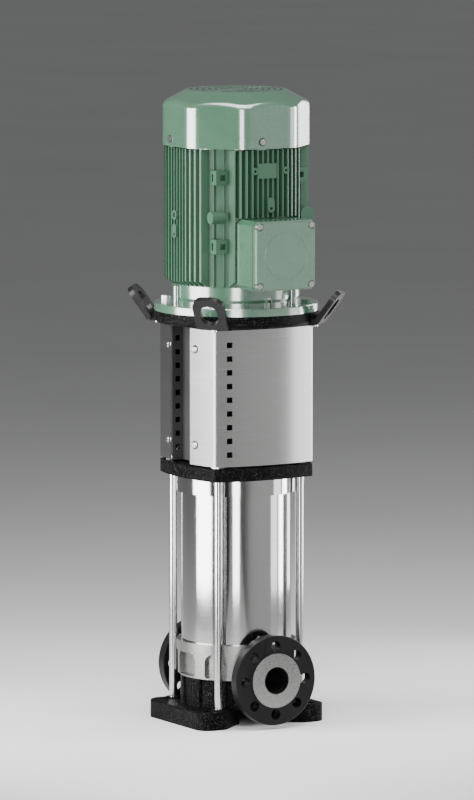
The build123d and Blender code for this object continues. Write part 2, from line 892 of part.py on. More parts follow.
seal_head_bottom = sleeve_top + 2
with BuildPart() as seal_head:
    with BuildSketch(Plane.XZ):
        with BuildLine():
            Polyline(
                (pump_shaft_radius + screw_gap, seal_head_bottom),
                (seal_head_radius, seal_head_bottom),
                (seal_head_radius, seal_head_bottom + seal_head_height),
                (seal_nose_radius, seal_head_bottom + seal_head_height),
                (seal_nose_radius, seal_face_height),
                (pump_shaft_radius + screw_gap, seal_face_height),
                close=True,
            )
        make_face()
    revolve(axis=Axis.Z)
write_step(seal_head, "seal_head")

# Pump shaft and the nut that clamps the impellers on it
pump_shaft_bottom = bush_bottom + 1
with BuildPart() as pump_shaft:
    with BuildSketch(Plane.XY.offset(pump_shaft_bottom)):
        Circle(pump_shaft_radius)
    extrude(amount=pump_shaft_top - pump_shaft_bottom)
    with BuildSketch(Plane.XY.offset(stack_bottom - shaft_collar_height)):
        Circle(pump_shaft_radius + shaft_collar_width)
    extrude(amount=shaft_collar_height)
    chamfer(pump_shaft.faces().sort_by(Axis.Z)[0].edges(), shaft_end_chamfer)
    chamfer(pump_shaft.faces().sort_by(Axis.Z)[-1].edges(), shaft_end_chamfer)
write_step(pump_shaft, "pump_shaft")

with BuildPart() as shaft_nut:
    with BuildSketch(Plane.XY.offset(stack_top)):
        Circle(impeller_hub_radius - 0.5)
        Circle(pump_shaft_radius + screw_gap, mode=Mode.SUBTRACT)
        with PolarLocations(impeller_hub_radius, 4):
            Rectangle(5, 4, mode=Mode.SUBTRACT)
    extrude(amount=shaft_nut_height)
write_step(shaft_nut, "shaft_nut")

# Tie rods with rolled threads at both ends, and their nuts
with BuildPart() as tie_rods:
    with BuildSketch(Plane.XY.offset(rod_bottom)):
        with GridLocations(2 * rod_offset, 2 * rod_offset, 2, 2):
            Circle(rod_thread_radius)
    extrude(amount=rod_engagement)
    with BuildSketch(Plane.XY.offset(rod_bottom)):
        with GridLocations(2 * rod_offset, 2 * rod_offset, 2, 2):
            Circle(rod_shank_radius)
    extrude(amount=rod_top - rod_bottom)
    with BuildSketch(Plane.XY.offset(floor_bottom - rod_thread_length)):
        with GridLocations(2 * rod_offset, 2 * rod_offset, 2, 2):
            Circle(rod_thread_radius)
    extrude(amount=rod_top - floor_bottom + rod_thread_length)
write_step(tie_rods, "tie_rods")

with BuildPart() as tie_rod_nuts:
    with BuildSketch(Plane.XY.offset(floor_top)):
        with GridLocations(2 * rod_offset, 2 * rod_offset, 2, 2):
            RegularPolygon(rod_nut_width / 2, 6, major_radius=False)
            Circle(rod_thread_radius + screw_gap, mode=Mode.SUBTRACT)
    extrude(amount=rod_nut_height)
write_step(tie_rod_nuts, "tie_rod_nuts")

# Lantern: bulged square floor, four legs and a round top plate that takes the motor
half = lantern_half_side
guard_height = guard_top - guard_bottom
guard_hole_pitch = (guard_height - guard_hole_rise - guard_hole_head) / (guard_hole_count - 1)
hole_levels = [guard_bottom + guard_hole_rise + n * guard_hole_pitch for n in range(guard_hole_count)]
screw_levels = (guard_bottom + guard_screw_rise, guard_top - guard_screw_head)
lean_slope = tan(radians(guard_return_lean))
lean_cos = cos(radians(guard_return_lean))
lean_sin = sin(radians(guard_return_lean))
lug_foot_bottom = top_plate_bottom - lug_foot_step
lug_foot_top = lug_foot_bottom + lug_foot_thickness


def bulged_square(half_side, bulge, corner_radius):
    """Sketch a square whose four sides bulge outwards."""
    with BuildSketch(mode=Mode.PRIVATE) as outline:
        with BuildLine():
            ThreePointArc((-half_side, -half_side), (0, -half_side - bulge), (half_side, -half_side))
            ThreePointArc((half_side, -half_side), (half_side + bulge, 0), (half_side, half_side))
            ThreePointArc((half_side, half_side), (0, half_side + bulge), (-half_side, half_side))
            ThreePointArc((-half_side, half_side), (-half_side - bulge, 0), (-half_side, -half_side))
        make_face()
        fillet(outline.vertices(), corner_radius)
    return outline.sketch


def return_x(y):
    """Give the outer face of a guard's return flange at a distance from the middle plane."""
    return half + (half - y) * lean_slope


def arm_end_x(y):
    """Give the end of a lantern arm, just inside the guard's return flange."""
    return return_x(y) - guard_thickness / lean_cos - seat_gap


def guard_screw_planes(level):
    """Give the four planes at one level that lie on the return flanges at the screws."""
    y = guard_free_edge_y + guard_screw_inset
    planes = []
    for side_x in (1, -1):
        for side_y in (1, -1):
            origin = (side_x * return_x(y), side_y * y, level)
            planes.append(Plane(origin=origin, z_dir=(side_x * lean_cos, side_y * lean_sin, 0)))
    return planes


with BuildPart() as lantern:
    with BuildSketch(Plane.XY.offset(floor_bottom)):
        add(bulged_square(half, side_bulge, lantern_corner_radius))
    extrude(amount=lantern_floor_thickness)
    fillet(lantern.faces().sort_by(Axis.Z)[-1].edges(), lantern_floor_edge)
    with BuildSketch(Plane.XY.offset(floor_bottom)):
        with GridLocations(2 * leg_centre, 2 * leg_centre, 2, 2):
            RectangleRounded(leg_side, leg_side, leg_rounding)
    extrude(amount=lantern_height - 2)
    with BuildSketch(Plane.XZ):
        with BuildLine():
            Polyline(
                (0, top_plate_bottom),
                (top_plate_radius, top_plate_bottom),
                (top_plate_radius, lantern_top),
                (0, lantern_top),
                close=True,
            )
        make_face()
        rounded = [v for v in vertices() if v.X > 1 and v.Y < lantern_top - 1]
        fillet(rounded, top_plate_edge_radius)
    revolve(axis=Axis.Z)
    # Ears that reach out over the lug feet
    with BuildSketch(Plane.XY.offset(lug_foot_top)):
        with PolarLocations((lug_foot_inner + lug_ear_reach) / 2, 4, start_angle=45):
            Rectangle(lug_ear_reach - lug_foot_inner, lug_foot_width)
    extrude(amount=lug_ear_height)
    # Arms that the guards are screwed to
    for level in screw_levels:
        with BuildSketch(Plane.XY.offset(level - arm_height / 2)):
            with BuildLine():
                Polyline(
                    (leg_centre, arm_inner_y),
                    (arm_end_x(arm_inner_y), arm_inner_y),
                    (arm_end_x(arm_outer_y), arm_outer_y),
                    (leg_centre, arm_outer_y),
                    close=True,
                )
            make_face()
            mirror(about=Plane.XZ)
            mirror(about=Plane.YZ)
        extrude(amount=arm_height)
    # Bore of the neck, bore of the coupling and seat of the motor spigot
    with BuildSketch(Plane.XY.offset(floor_bottom)):
        Circle(neck_radius + seat_gap)
    extrude(amount=lantern_floor_thickness, mode=Mode.SUBTRACT)
    with BuildSketch(Plane.XY.offset(top_plate_bottom)):
        Circle(lantern_bore_radius)
    extrude(amount=top_plate_thickness, mode=Mode.SUBTRACT)
    with BuildSketch(Plane.XY.offset(lantern_top)):
        Circle(spigot_radius + seat_gap)
    extrude(amount=-spigot_height - seat_gap, mode=Mode.SUBTRACT)
    # Holes of the rods, the flange bolts, the guard screws and the lug screws
    with BuildSketch(Plane.XY.offset(floor_bottom)):
        with GridLocations(2 * rod_offset, 2 * rod_offset, 2, 2):
            Circle(rod_thread_radius + loose_gap)
    extrude(amount=lantern_floor_thickness, mode=Mode.SUBTRACT)
    with BuildSketch(Plane.XY.offset(lantern_top)):
        with GridLocations(2 * flange_bolt_offset, 2 * flange_bolt_offset, 2, 2):
            Circle(flange_bolt_radius + screw_gap)
    extrude(amount=-top_plate_thickness, mode=Mode.SUBTRACT)
    with BuildSketch(Plane.XY.offset(lug_foot_bottom)):
        with PolarLocations(lug_foot_inner + lug_pocket_length / 2, 4, start_angle=45):
            Rectangle(lug_pocket_length + 2 * loose_gap, lug_foot_width + 2 * loose_gap)
    extrude(amount=lug_foot_thickness, mode=Mode.SUBTRACT)
    with BuildSketch(Plane.XY.offset(lug_foot_top)):
        with PolarLocations(lug_screw_reach, 4, start_angle=45):
            Circle(lug_screw_shank_radius + screw_gap)
    extrude(amount=lug_screw_engagement, mode=Mode.SUBTRACT)
    for level in screw_levels:
        for plane in guard_screw_planes(level):
            with BuildSketch(plane):
                Circle(guard_screw_shank_radius + screw_gap)
            extrude(amount=-guard_thickness - guard_screw_length, mode=Mode.SUBTRACT)
write_step(lantern, "lantern")

# Front and rear guards: bulged sheet with two leaning return flanges
trim_y = guard_free_edge_y - 6


def guard_outline(inset):
    """Sketch the filled outline of a guard, inset by a distance from its outer face."""
    with BuildSketch(mode=Mode.PRIVATE) as outline:
        with BuildLine():
            left_end = (-return_x(trim_y), -trim_y)
            left_bend = (-half, -half)
            right_bend = (half, -half)
            right_end = (return_x(trim_y), -trim_y)
            Line(left_end, left_bend)
            ThreePointArc(left_bend, (0, -half - side_bulge), right_bend)
            Line(right_bend, right_end)
            Line(right_end, left_end)
        make_face()
        bends = [v for v in outline.vertices() if v.Y < -half + 1]
        fillet(bends, guard_bend_radius)
        if inset > 0:
            offset(amount=-inset)
    return outline.sketch


def coupling_guard(turn, name):
    """Make one guard; a turn of 180 degrees gives the rear one."""
    with BuildPart() as guard:
        with BuildSketch(Plane.XY.offset(guard_bottom).rotated((0, 0, turn))):
            add(guard_outline(0))
            add(guard_outline(guard_thickness), mode=Mode.SUBTRACT)
            Rectangle(3 * half, 2 * guard_free_edge_y, mode=Mode.SUBTRACT)
        extrude(amount=guard_height)
        with BuildSketch(Plane.XZ.offset(half / 2).rotated((0, 0, turn))):
            with Locations(*[(-guard_hole_x, level) for level in hole_levels]):
                Rectangle(guard_hole_side, guard_hole_side)
        extrude(amount=half, mode=Mode.SUBTRACT)
        for level in screw_levels:
            for plane in guard_screw_planes(level):
                with BuildSketch(plane):
                    Circle(guard_screw_shank_radius + loose_gap)
                extrude(amount=guard_thickness * 2, both=True, mode=Mode.SUBTRACT)
    write_step(guard, name)


coupling_guard(0, "front_coupling_guard")
coupling_guard(180, "rear_coupling_guard")


def side_channel(side, name):
    """Make the perforated channel that closes the gap between the two guards."""
    outer_y = arm_inner_y - seat_gap
    channel_end = channel_web_x + channel_depth
    with BuildPart() as channel:
        with BuildSketch(Plane.XY.offset(guard_bottom)):
            with BuildLine():
                Polyline(
                    (side * channel_end, outer_y),
                    (side * channel_web_x, outer_y),
                    (side * channel_web_x, -outer_y),
                    (side * channel_end, -outer_y),
                    (side * channel_end, -outer_y + guard_thickness),
                    (side * (channel_web_x + guard_thickness), -outer_y + guard_thickness),
                    (side * (channel_web_x + guard_thickness), outer_y - guard_thickness),
                    (side * channel_end, outer_y - guard_thickness),
                    close=True,
                )
            make_face()
        extrude(amount=guard_height)
        bend_edges = channel.edges().filter_by(Axis.Z).filter_by(
            lambda edge: abs(abs(edge.center().X) - channel_web_x) < 0.1
        )
        fillet(bend_edges, channel_bend_radius)
        with BuildSketch(Plane.XZ):
            hole_x = side * (channel_web_x + channel_depth / 2)
            with Locations(*[(hole_x, level + 1.5) for level in hole_levels]):
                Rectangle(guard_hole_side, guard_hole_side)
        extrude(amount=outer_y + 2, both=True, mode=Mode.SUBTRACT)
    write_step(channel, name)


side_channel(1, "right_inner_guard")
side_channel(-1, "left_inner_guard")

with BuildPart() as guard_screws:
    for level in screw_levels:
        for plane in guard_screw_planes(level):
            with BuildSketch(plane):
                Circle(guard_screw_radius)
            extrude(amount=guard_screw_rim)
            with BuildSketch(plane.offset(guard_screw_rim)):
                Circle(guard_screw_radius)
            extrude(amount=guard_screw_dome, taper=35)
            with BuildSketch(plane):
                Circle(guard_screw_shank_radius)
            extrude(amount=-guard_screw_length)
write_step(guard_screws, "guard_screws")

# Lifting lugs: leaning plates with an oblong eye, each on a foot under the top plate
lug_face = Plane(
    origin=(lug_bottom_radius, 0, top_plate_bottom),
    x_dir=(0, 1, 0),
    z_dir=(cos(radians(lug_lean)), 0, -sin(radians(lug_lean))),
)
lug_foot_end = lug_bottom_radius - 3
with BuildPart() as one_lug:
    with BuildSketch(lug_face):
        with Locations((0, lug_length / 2)):
            Rectangle(lug_width, lug_length)
        top_corners = [v for v in vertices() if v.Y > lug_length / 2]
        fillet(top_corners, lug_corner_radius)
        with Locations(Location((0, lug_hole_rise, 0), (0, 0, 90))):
            SlotOverall(lug_hole_length, lug_hole_width, mode=Mode.SUBTRACT)
    extrude(amount=-lug_thickness)
    with BuildSketch(Plane.XY.offset(lug_foot_bottom)):
        with Locations(((lug_foot_inner + lug_foot_end) / 2, 0)):
            Rectangle(lug_foot_end - lug_foot_inner, lug_foot_width)
    extrude(amount=lug_foot_thickness)
    with BuildSketch(Plane.XY.offset(lug_foot_bottom)):
        with Locations((lug_screw_reach, 0)):
            Circle(lug_screw_shank_radius + screw_gap)
    extrude(amount=lug_foot_thickness, mode=Mode.SUBTRACT)

with BuildPart() as lifting_lugs:
    with PolarLocations(0, 4, start_angle=45):
        add(one_lug.part)
write_step(lifting_lugs, "lifting_lugs")

with BuildPart() as lifting_lug_screws:
    with BuildSketch(Plane.XY.offset(lug_foot_bottom)):
        with PolarLocations(lug_screw_reach, 4, start_angle=45):
            Circle(lug_screw_head_radius)
    extrude(amount=-lug_screw_head)
    with BuildSketch(Plane.XY.offset(lug_foot_bottom)):
        with PolarLocations(lug_screw_reach, 4, start_angle=45):
            Circle(lug_screw_shank_radius)
    extrude(amount=lug_foot_thickness + lug_screw_engagement - 2)
write_step(lifting_lug_screws, "lifting_lug_screws")

# Drive-end shield with the mounting flange
bearing_hub_radius = bearing_outer_radius + bearing_hub_wall
bearing_lip_radius = (bearing_bore_radius + bearing_outer_radius) / 2
spigot_bottom = lantern_top - spigot_height
shield_inner_radius = shield_radius - shield_wall
neck_inner_radius = flange_neck_radius - shield_wall
with BuildPart() as motor_flange:
    with BuildSketch(Plane.XZ):
        with BuildLine():
            Polyline(
                (shaft_seat_radius + 2, spigot_bottom + 6),
                (spigot_radius - spigot_ring_width, spigot_bottom + 6),
                (spigot_radius - spigot_ring_width, spigot_bottom),
                (spigot_radius, spigot_bottom),
                (spigot_radius, lantern_top),
                (top_plate_radius, lantern_top),
                (top_plate_radius, flange_top),
                (flange_neck_radius, flange_top),
                (flange_neck_radius, flange_top + flange_neck_height),
                (shield_radius, flange_top + 2 * flange_neck_height),
                (shield_radius, housing_bottom),
                (shield_inner_radius, housing_bottom),
                (shield_inner_radius, drive_bearing_bottom + 2 * flange_neck_height),
                (neck_inner_radius, drive_bearing_bottom + flange_neck_height),
                (neck_inner_radius, drive_bearing_bottom),
                (bearing_hub_radius, drive_bearing_bottom),
                (bearing_hub_radius, drive_bearing_top),
                (bearing_outer_radius + screw_gap, drive_bearing_top),
                (bearing_outer_radius + screw_gap, drive_bearing_bottom),
                (bearing_lip_radius, drive_bearing_bottom),
                (bearing_lip_radius, drive_bearing_bottom - bearing_relief),
                (shaft_seat_radius + 2, drive_bearing_bottom - bearing_relief),
                close=True,
            )
        make_face()
    revolve(axis=Axis.Z)
    rim = motor_flange.edges().filter_by(GeomType.CIRCLE).filter_by(
        lambda edge: abs(edge.radius - top_plate_radius) < 0.01 and edge.center().Z > lantern_top + 1
    )
    chamfer(rim, flange_edge_chamfer)
    # Upright bosses round the shield, and two short ribs under the terminal box
    for angle in shield_boss_angles:
        with BuildSketch(Plane.XY.offset(flange_top)):
            with PolarLocations(shield_radius, 1, start_angle=angle - 90):
                Circle(shield_boss_radius)
            Circle(shield_inner_radius, mode=Mode.SUBTRACT)
        extrude(amount=shield_height - shield_boss_drop)
    with BuildSketch(Plane.XY.offset(flange_top)):
        with Locations((0, -shield_radius)):
            with GridLocations(shield_rib_spacing, 1, 2, 1):
                Rectangle(shield_rib_width, 2 * shield_rib_reach)
    extrude(amount=shield_rib_height)
    with BuildSketch(Plane.XY.offset(lantern_top)):
        with GridLocations(2 * flange_bolt_offset, 2 * flange_bolt_offset, 2, 2):
            Circle(flange_bolt_radius + flange_bolt_clearance)
    extrude(amount=motor_flange_thickness, mode=Mode.SUBTRACT)
write_step(motor_flange, "motor_flange")

with BuildPart() as motor_flange_bolts:
    with BuildSketch(Plane.XY.offset(flange_top)):
        with GridLocations(2 * flange_bolt_offset, 2 * flange_bolt_offset, 2, 2):
            RegularPolygon(flange_bolt_width / 2, 6, major_radius=False)
    extrude(amount=flange_bolt_head)
    with BuildSketch(Plane.XY.offset(flange_top)):
        with GridLocations(2 * flange_bolt_offset, 2 * flange_bolt_offset, 2, 2):
            Circle(flange_bolt_radius)
    extrude(amount=-flange_bolt_grip)
write_step(motor_flange_bolts, "motor_flange_bolts")

# Motor housing: barrel, four packs of parallel fins, rails and blocks on the diagonals
block_step = 2 * block_corner - block_side
block_middle = block_corner - block_side / 2
fin_length = fin_tip_radius - core_radius + fin_root_depth
fin_span = (fins_per_side - 1) * fin_pitch
pad_face = fin_flat_distance + pad_standout
oblong_face = fin_flat_distance + oblong_standout

with BuildPart() as motor_housing:
    with BuildSketch(Plane.XY.offset(housing_bottom)):
        Circle(fin_tip_radius)
        Rectangle(2 * fin_flat_distance, 2 * fin_flat_distance, mode=Mode.INTERSECT)
        with BuildSketch(mode=Mode.PRIVATE) as fin_pack:
            with Locations((0, -core_radius + fin_root_depth - fin_length / 2)):
                with GridLocations(fin_pitch, 1, fins_per_side, 1):
                    Rectangle(fin_thickness, fin_length)
        with BuildSketch(mode=Mode.PRIVATE) as section:
            Circle(core_radius)
            with PolarLocations(0, 4):
                add(fin_pack.sketch)
            for spread in (-rail_spread, rail_spread):
                with PolarLocations(core_radius, 4, start_angle=45 + spread):
                    Rectangle(2 * rail_height, rail_width)
        add(section.sketch, mode=Mode.INTERSECT)
    extrude(amount=housing_height)
    # Slanted lower ends of the fins
    with BuildSketch(Plane.XZ):
        with BuildLine():
            Polyline(
                (core_radius, housing_bottom),
                (fin_tip_radius + 2, housing_bottom),
                (fin_tip_radius + 2, housing_bottom + fin_slant_height),
                close=True,
            )
        make_face()
    revolve(axis=Axis.Z, mode=Mode.SUBTRACT)
    # Corner blocks with an oblong hole to the side and a square pocket to the front and back
    for rise in block_rises:
        block_centre = housing_bottom + rise + block_height / 2
        with BuildSketch(Plane.XY.offset(housing_bottom + rise)):
            with GridLocations(block_step, block_step, 2, 2):
                Rectangle(block_side, block_side)
        extrude(amount=block_height)
        for turn in (90, 270):
            with BuildSketch(side_plane(turn, block_corner, block_centre)):
                with GridLocations(2 * block_middle, 1, 2, 1):
                    with Locations(Location((0, 0, 0), (0, 0, 90))):
                        SlotOverall(block_hole_length, block_hole_width)
            extrude(amount=-block_hole_depth, mode=Mode.SUBTRACT)
        for turn in (0, 180):
            with BuildSketch(side_plane(turn, block_corner, block_centre)):
                with GridLocations(2 * block_middle, 1, 2, 1):
                    Rectangle(block_pocket_side, block_pocket_side)
            extrude(amount=-block_hole_depth, mode=Mode.SUBTRACT)
    # Round bosses on two corners, between the blocks
    for turn, radius in ((270, corner_boss_radius), (0, front_boss_radius)):
        with BuildSketch(side_plane(turn, boss_end, housing_bottom + boss_rise)):
            with Locations((boss_centre, 0)):
                Circle(radius)
        extrude(amount=-block_side)
    # Pads and bosses that stand on the fins
    for turn in (0, 180):
        with BuildSketch(side_plane(turn, core_radius - 4, housing_bottom + pad_rise)):
            with Locations((pad_offset, 0)):
                Rectangle(pad_width, pad_height)
            with GridLocations(2 * pad_screw_offset, 1, 2, 1):
                Circle(pad_screw_radius)
        extrude(amount=pad_face - core_radius + 4)
        with BuildSketch(side_plane(turn, pad_face, housing_bottom + pad_rise)):
            with GridLocations(2 * pad_screw_offset, 1, 2, 1):
                Circle(oblong_hole_radius)
        extrude(amount=-block_hole_depth, mode=Mode.SUBTRACT)
    for turn, rise in ((0, oblong_front_rise), (180, oblong_front_rise), (90, oblong_side_rise), (270, oblong_side_rise)):
        with BuildSketch(side_plane(turn, core_radius - 4, housing_bottom + rise)):
            with Locations(Location((0, 0, 0), (0, 0, 90))):
                SlotOverall(oblong_length, oblong_width)
        extrude(amount=oblong_face - core_radius + 4)
        with BuildSketch(side_plane(turn, oblong_face, housing_bottom + rise - oblong_hole_drop)):
            Circle(oblong_hole_radius)
        extrude(amount=-block_hole_depth, mode=Mode.SUBTRACT)
    for turn in (90, 270):
        with BuildSketch(side_plane(turn, core_radius - 4, housing_bottom + boss_rise)):
            Circle(ring_boss_radius)
        extrude(amount=oblong_face - core_radius + 4)
        with BuildSketch(side_plane(turn, oblong_face, housing_bottom + boss_rise)):
            Circle(ring_boss_hole_radius)
        extrude(amount=-oblong_standout, mode=Mode.SUBTRACT)
    # Pedestal of the terminal box, with the fins cleared round the box
    with BuildSketch(Plane.XY.offset(box_bottom - 2)):
        with Locations((0, -box_face)):
            Rectangle(box_width + 3, 2 * (box_face - box_back + 1))
    extrude(amount=box_height + 4, mode=Mode.SUBTRACT)
    with BuildSketch(Plane.XY.offset(box_bottom + box_wall)):
        with Locations((0, -pedestal_face / 2)):
            Rectangle(2 * pedestal_half_width, pedestal_face)
    extrude(amount=box_height - 2 * box_wall)
    with BuildSketch(Plane.XY.offset(housing_bottom)):
        Circle(core_radius)
    extrude(amount=housing_height)
    with BuildSketch(Plane.XY.offset(housing_bottom)):
        Circle(core_radius - core_wall)
    extrude(amount=housing_height, mode=Mode.SUBTRACT)
write_step(motor_housing, "motor_housing")

# Stator, rotor and shaft
stator_radius = core_radius - core_wall - seat_gap
winding_outer = stator_radius - winding_outer_gap
winding_inner = rotor_radius + winding_inner_gap
rotor_shaft_radius = shaft_seat_radius + shaft_shoulder
fan_journal_radius = shaft_radius - fan_journal_step
fan_hub_bottom = rear_bearing_top + fan_hub_gap
shaft_top = fan_hub_bottom + fan_blade_height + shaft_stub_length
with BuildPart() as stator_core:
    with BuildSketch(Plane.XY.offset(stator_bottom)):
        Circle(stator_radius)
        Circle(rotor_radius + air_gap, mode=Mode.SUBTRACT)
    extrude(amount=core_stack_height)
write_step(stator_core, "stator_core")

with BuildPart() as stator_winding:
    for low in (stator_bottom - winding_height, stator_top):
        with BuildSketch(Plane.XY.offset(low)):
            Circle(winding_outer)
            Circle(winding_inner, mode=Mode.SUBTRACT)
        extrude(amount=winding_height)
    crown = stator_winding.edges().filter_by(GeomType.CIRCLE).filter_by(
        lambda edge: abs(edge.radius - winding_outer) < 0.01
    )
    fillet([crown.sort_by(Axis.Z)[0], crown.sort_by(Axis.Z)[-1]], winding_edge_radius)
write_step(stator_winding, "stator_winding")

with BuildPart() as rotor_core:
    with BuildSketch(Plane.XY.offset(stator_bottom)):
        Circle(rotor_radius)
        Circle(rotor_shaft_radius + screw_gap, mode=Mode.SUBTRACT)
    extrude(amount=core_stack_height)
    for low in (stator_bottom - end_ring_height, stator_top):
        with BuildSketch(Plane.XY.offset(low)):
            Circle(rotor_radius - end_ring_inset)
            Circle(rotor_radius - end_ring_inset - end_ring_width, mode=Mode.SUBTRACT)
        extrude(amount=end_ring_height)
write_step(rotor_core, "rotor_core")

with BuildPart() as motor_shaft:
    with BuildSketch(Plane.XZ):
        with BuildLine():
            Polyline(
                (0, shaft_bottom),
                (shaft_radius - shaft_end_chamfer, shaft_bottom),
                (shaft_radius, shaft_bottom + shaft_end_chamfer),
                (shaft_radius, drive_bearing_bottom - 2),
                (shaft_seat_radius, drive_bearing_bottom - 2),
                (shaft_seat_radius, drive_bearing_top),
                (rotor_shaft_radius, drive_bearing_top),
                (rotor_shaft_radius, rear_bearing_bottom),
                (shaft_seat_radius, rear_bearing_bottom),
                (shaft_seat_radius, rear_bearing_top),
                (fan_journal_radius, rear_bearing_top),
                (fan_journal_radius, shaft_top),
                (0, shaft_top),
                close=True,
            )
        make_face()
    revolve(axis=Axis.Z)
write_step(motor_shaft, "motor_shaft")

# Deep-groove bearings: outer rings, inner rings and balls
ball_circle = (bearing_bore_radius + bearing_outer_radius) / 2
race_offset = ball_radius - race_depth
bearing_middles = [low + bearing_width / 2 for low in (drive_bearing_bottom, rear_bearing_bottom)]


def bearing_rings(inner_radius, outer_radius, name):
    """Make the inner or outer rings of both bearings, with the ball groove cut."""
    with BuildPart() as rings:
        for low in (drive_bearing_bottom, rear_bearing_bottom):
            with BuildSketch(Plane.XY.offset(low)):
                Circle(outer_radius)
                Circle(inner_radius, mode=Mode.SUBTRACT)
            extrude(amount=bearing_width)
        with BuildSketch(Plane.XZ):
            with Locations(*[(ball_circle, middle) for middle in bearing_middles]):
                Circle(ball_radius + running_gap)
        revolve(axis=Axis.Z, mode=Mode.SUBTRACT)
    write_step(rings, name)


bearing_rings(bearing_bore_radius + screw_gap, ball_circle - race_offset, "bearing_inner_rings")
bearing_rings(ball_circle + race_offset, bearing_outer_radius, "bearing_outer_rings")

with BuildPart() as bearing_balls:
    for middle in bearing_middles:
        with PolarLocations(ball_circle, ball_count):
            with Locations((0, 0, middle)):
                Sphere(ball_radius)
write_step(bearing_balls, "bearing_balls")

# Rear end shield, with the lugs that carry the fan cover
cover_inner_apothem = cover_apothem - cover_thickness
cover_screw_height = cover_bottom + cover_screw_rise
cover_lug_middle = cover_inner_apothem - seat_gap - cover_lug_depth / 2
with BuildPart() as rear_end_shield:
    with BuildSketch(Plane.XY.offset(housing_top)):
        Circle(core_radius)
    extrude(amount=rear_shield_thickness)
    with BuildSketch(Plane.XY.offset(rear_bearing_bottom - bearing_lip)):
        Circle(bearing_hub_radius)
        Circle(bearing_lip_radius, mode=Mode.SUBTRACT)
    extrude(amount=housing_top - rear_bearing_bottom + bearing_lip)
    with BuildSketch(Plane.XY.offset(housing_top)):
        with PolarLocations(0, 4, start_angle=-90):
            with Locations((cover_lug_middle, -cover_screw_offset)):
                Rectangle(cover_lug_depth, 2 * cover_lug_half)
    extrude(amount=cover_screw_height + cover_lug_half - housing_top)
    with BuildSketch(Plane.XY.offset(rear_bearing_bottom)):
        Circle(bearing_outer_radius + screw_gap)
    extrude(amount=rear_shield_top - rear_bearing_bottom, mode=Mode.SUBTRACT)
    for turn in range(0, 360, 90):
        with BuildSketch(side_plane(turn, cover_inner_apothem, cover_screw_height)):
            with Locations((-cover_screw_offset, 0)):
                Circle(cover_screw_radius + screw_gap)
        extrude(amount=-cover_screw_length - 1, mode=Mode.SUBTRACT)
write_step(rear_end_shield, "rear_end_shield")

# Cooling fan
with BuildPart() as cooling_fan:
    with BuildSketch(Plane.XY.offset(fan_hub_bottom)):
        Circle(fan_hub_radius)
    extrude(amount=fan_blade_height)
    with BuildSketch(Plane.XY.offset(fan_hub_bottom)):
        Circle(fan_radius - fan_disc_inset)
    extrude(amount=fan_disc_thickness)
    with BuildSketch(Plane.XY.offset(fan_hub_bottom + 1)):
        with PolarLocations((fan_radius + fan_blade_root) / 2, fan_blade_count):
            Rectangle(fan_radius - fan_blade_root, fan_blade_thickness)
    extrude(amount=fan_blade_height - 1)
    with BuildSketch(Plane.XY.offset(fan_hub_bottom)):
        Circle(fan_journal_radius + screw_gap)
    extrude(amount=fan_blade_height, mode=Mode.SUBTRACT)
write_step(cooling_fan, "cooling_fan")


def octagon(apothem, corner_radius):
    """Sketch an octagon with a flat on each axis and corners rounded to a given reach."""
    sharp_reach = apothem / cos(radians(22.5))
    rounding = (sharp_reach - corner_radius) / (1 / cos(radians(22.5)) - 1)
    with BuildSketch(mode=Mode.PRIVATE) as outline:
        RegularPolygon(apothem, 8, major_radius=False, rotation=22.5)
        fillet(outline.vertices(), rounding)
    return outline.sketch


def cover_body(inset):
    """Make the solid form of the fan cover, inset by a distance all round."""
    base = cover_bottom - (10 if inset > 0 else 0)
    roof_slope = (cover_height - cover_wall_height) / (cover_corner_radius - grille_radius)
    top = cover_top - inset
    shoulder = cover_bottom + cover_wall_height - inset
    with BuildPart(mode=Mode.PRIVATE) as body:
        with BuildSketch(Plane.XY.offset(base)):
            add(octagon(cover_apothem - inset, cover_corner_radius - inset))
        extrude(amount=top - base)
        with BuildSketch(Plane.XZ):
            with BuildLine():
                Polyline(
                    (0, base),
                    (cover_corner_radius + 10, base),
                    (cover_corner_radius + 10, shoulder - 10 * roof_slope),
                    (grille_radius, top),
                    (0, top),
                    close=True,
                )
            make_face()
        revolve(axis=Axis.Z, mode=Mode.INTERSECT)
        roof_edges = [
            edge
            for edge in body.edges()
            if edge.center().Z > shoulder - 5 and edge.geom_type != GeomType.LINE
            and hypot(edge.center().X, edge.center().Y) > grille_radius + 15
        ]
        fillet(roof_edges, cover_shoulder_radius - inset)
    return body.part


with BuildPart() as fan_cover:
    add(cover_body(0))
    add(cover_body(cover_thickness), mode=Mode.SUBTRACT)
    # Rows of curved slots in the grille
    with BuildSketch(Plane.XY.offset(cover_top - 2 * cover_thickness)):
        for row in range(slot_rows):
            row_radius = grille_radius - slot_rim - row * slot_row_pitch
            count = max(4, 4 * round(2 * pi * row_radius / (slot_arc_length + slot_web) / 4))
            arc = degrees((2 * pi * row_radius / count - slot_web) / row_radius)
            with PolarLocations(0, count, start_angle=180 / count):
                with BuildSketch(mode=Mode.PRIVATE) as slot:
                    with BuildLine():
                        inner = CenterArc((0, 0), row_radius - slot_width / 2, -arc / 2, arc)
                        outer = CenterArc((0, 0), row_radius + slot_width / 2, -arc / 2, arc)
                        Line(inner @ 0, outer @ 0)
                        Line(inner @ 1, outer @ 1)
                    make_face()
                add(slot.sketch)
    extrude(amount=3 * cover_thickness, mode=Mode.SUBTRACT)
    for turn in range(0, 360, 90):
        with BuildSketch(side_plane(turn, cover_apothem, cover_screw_height)):
            with Locations((-cover_screw_offset, 0)):
                Circle(cover_screw_radius + loose_gap)
        extrude(amount=-cover_thickness * 2, mode=Mode.SUBTRACT)
write_step(fan_cover, "fan_cover")

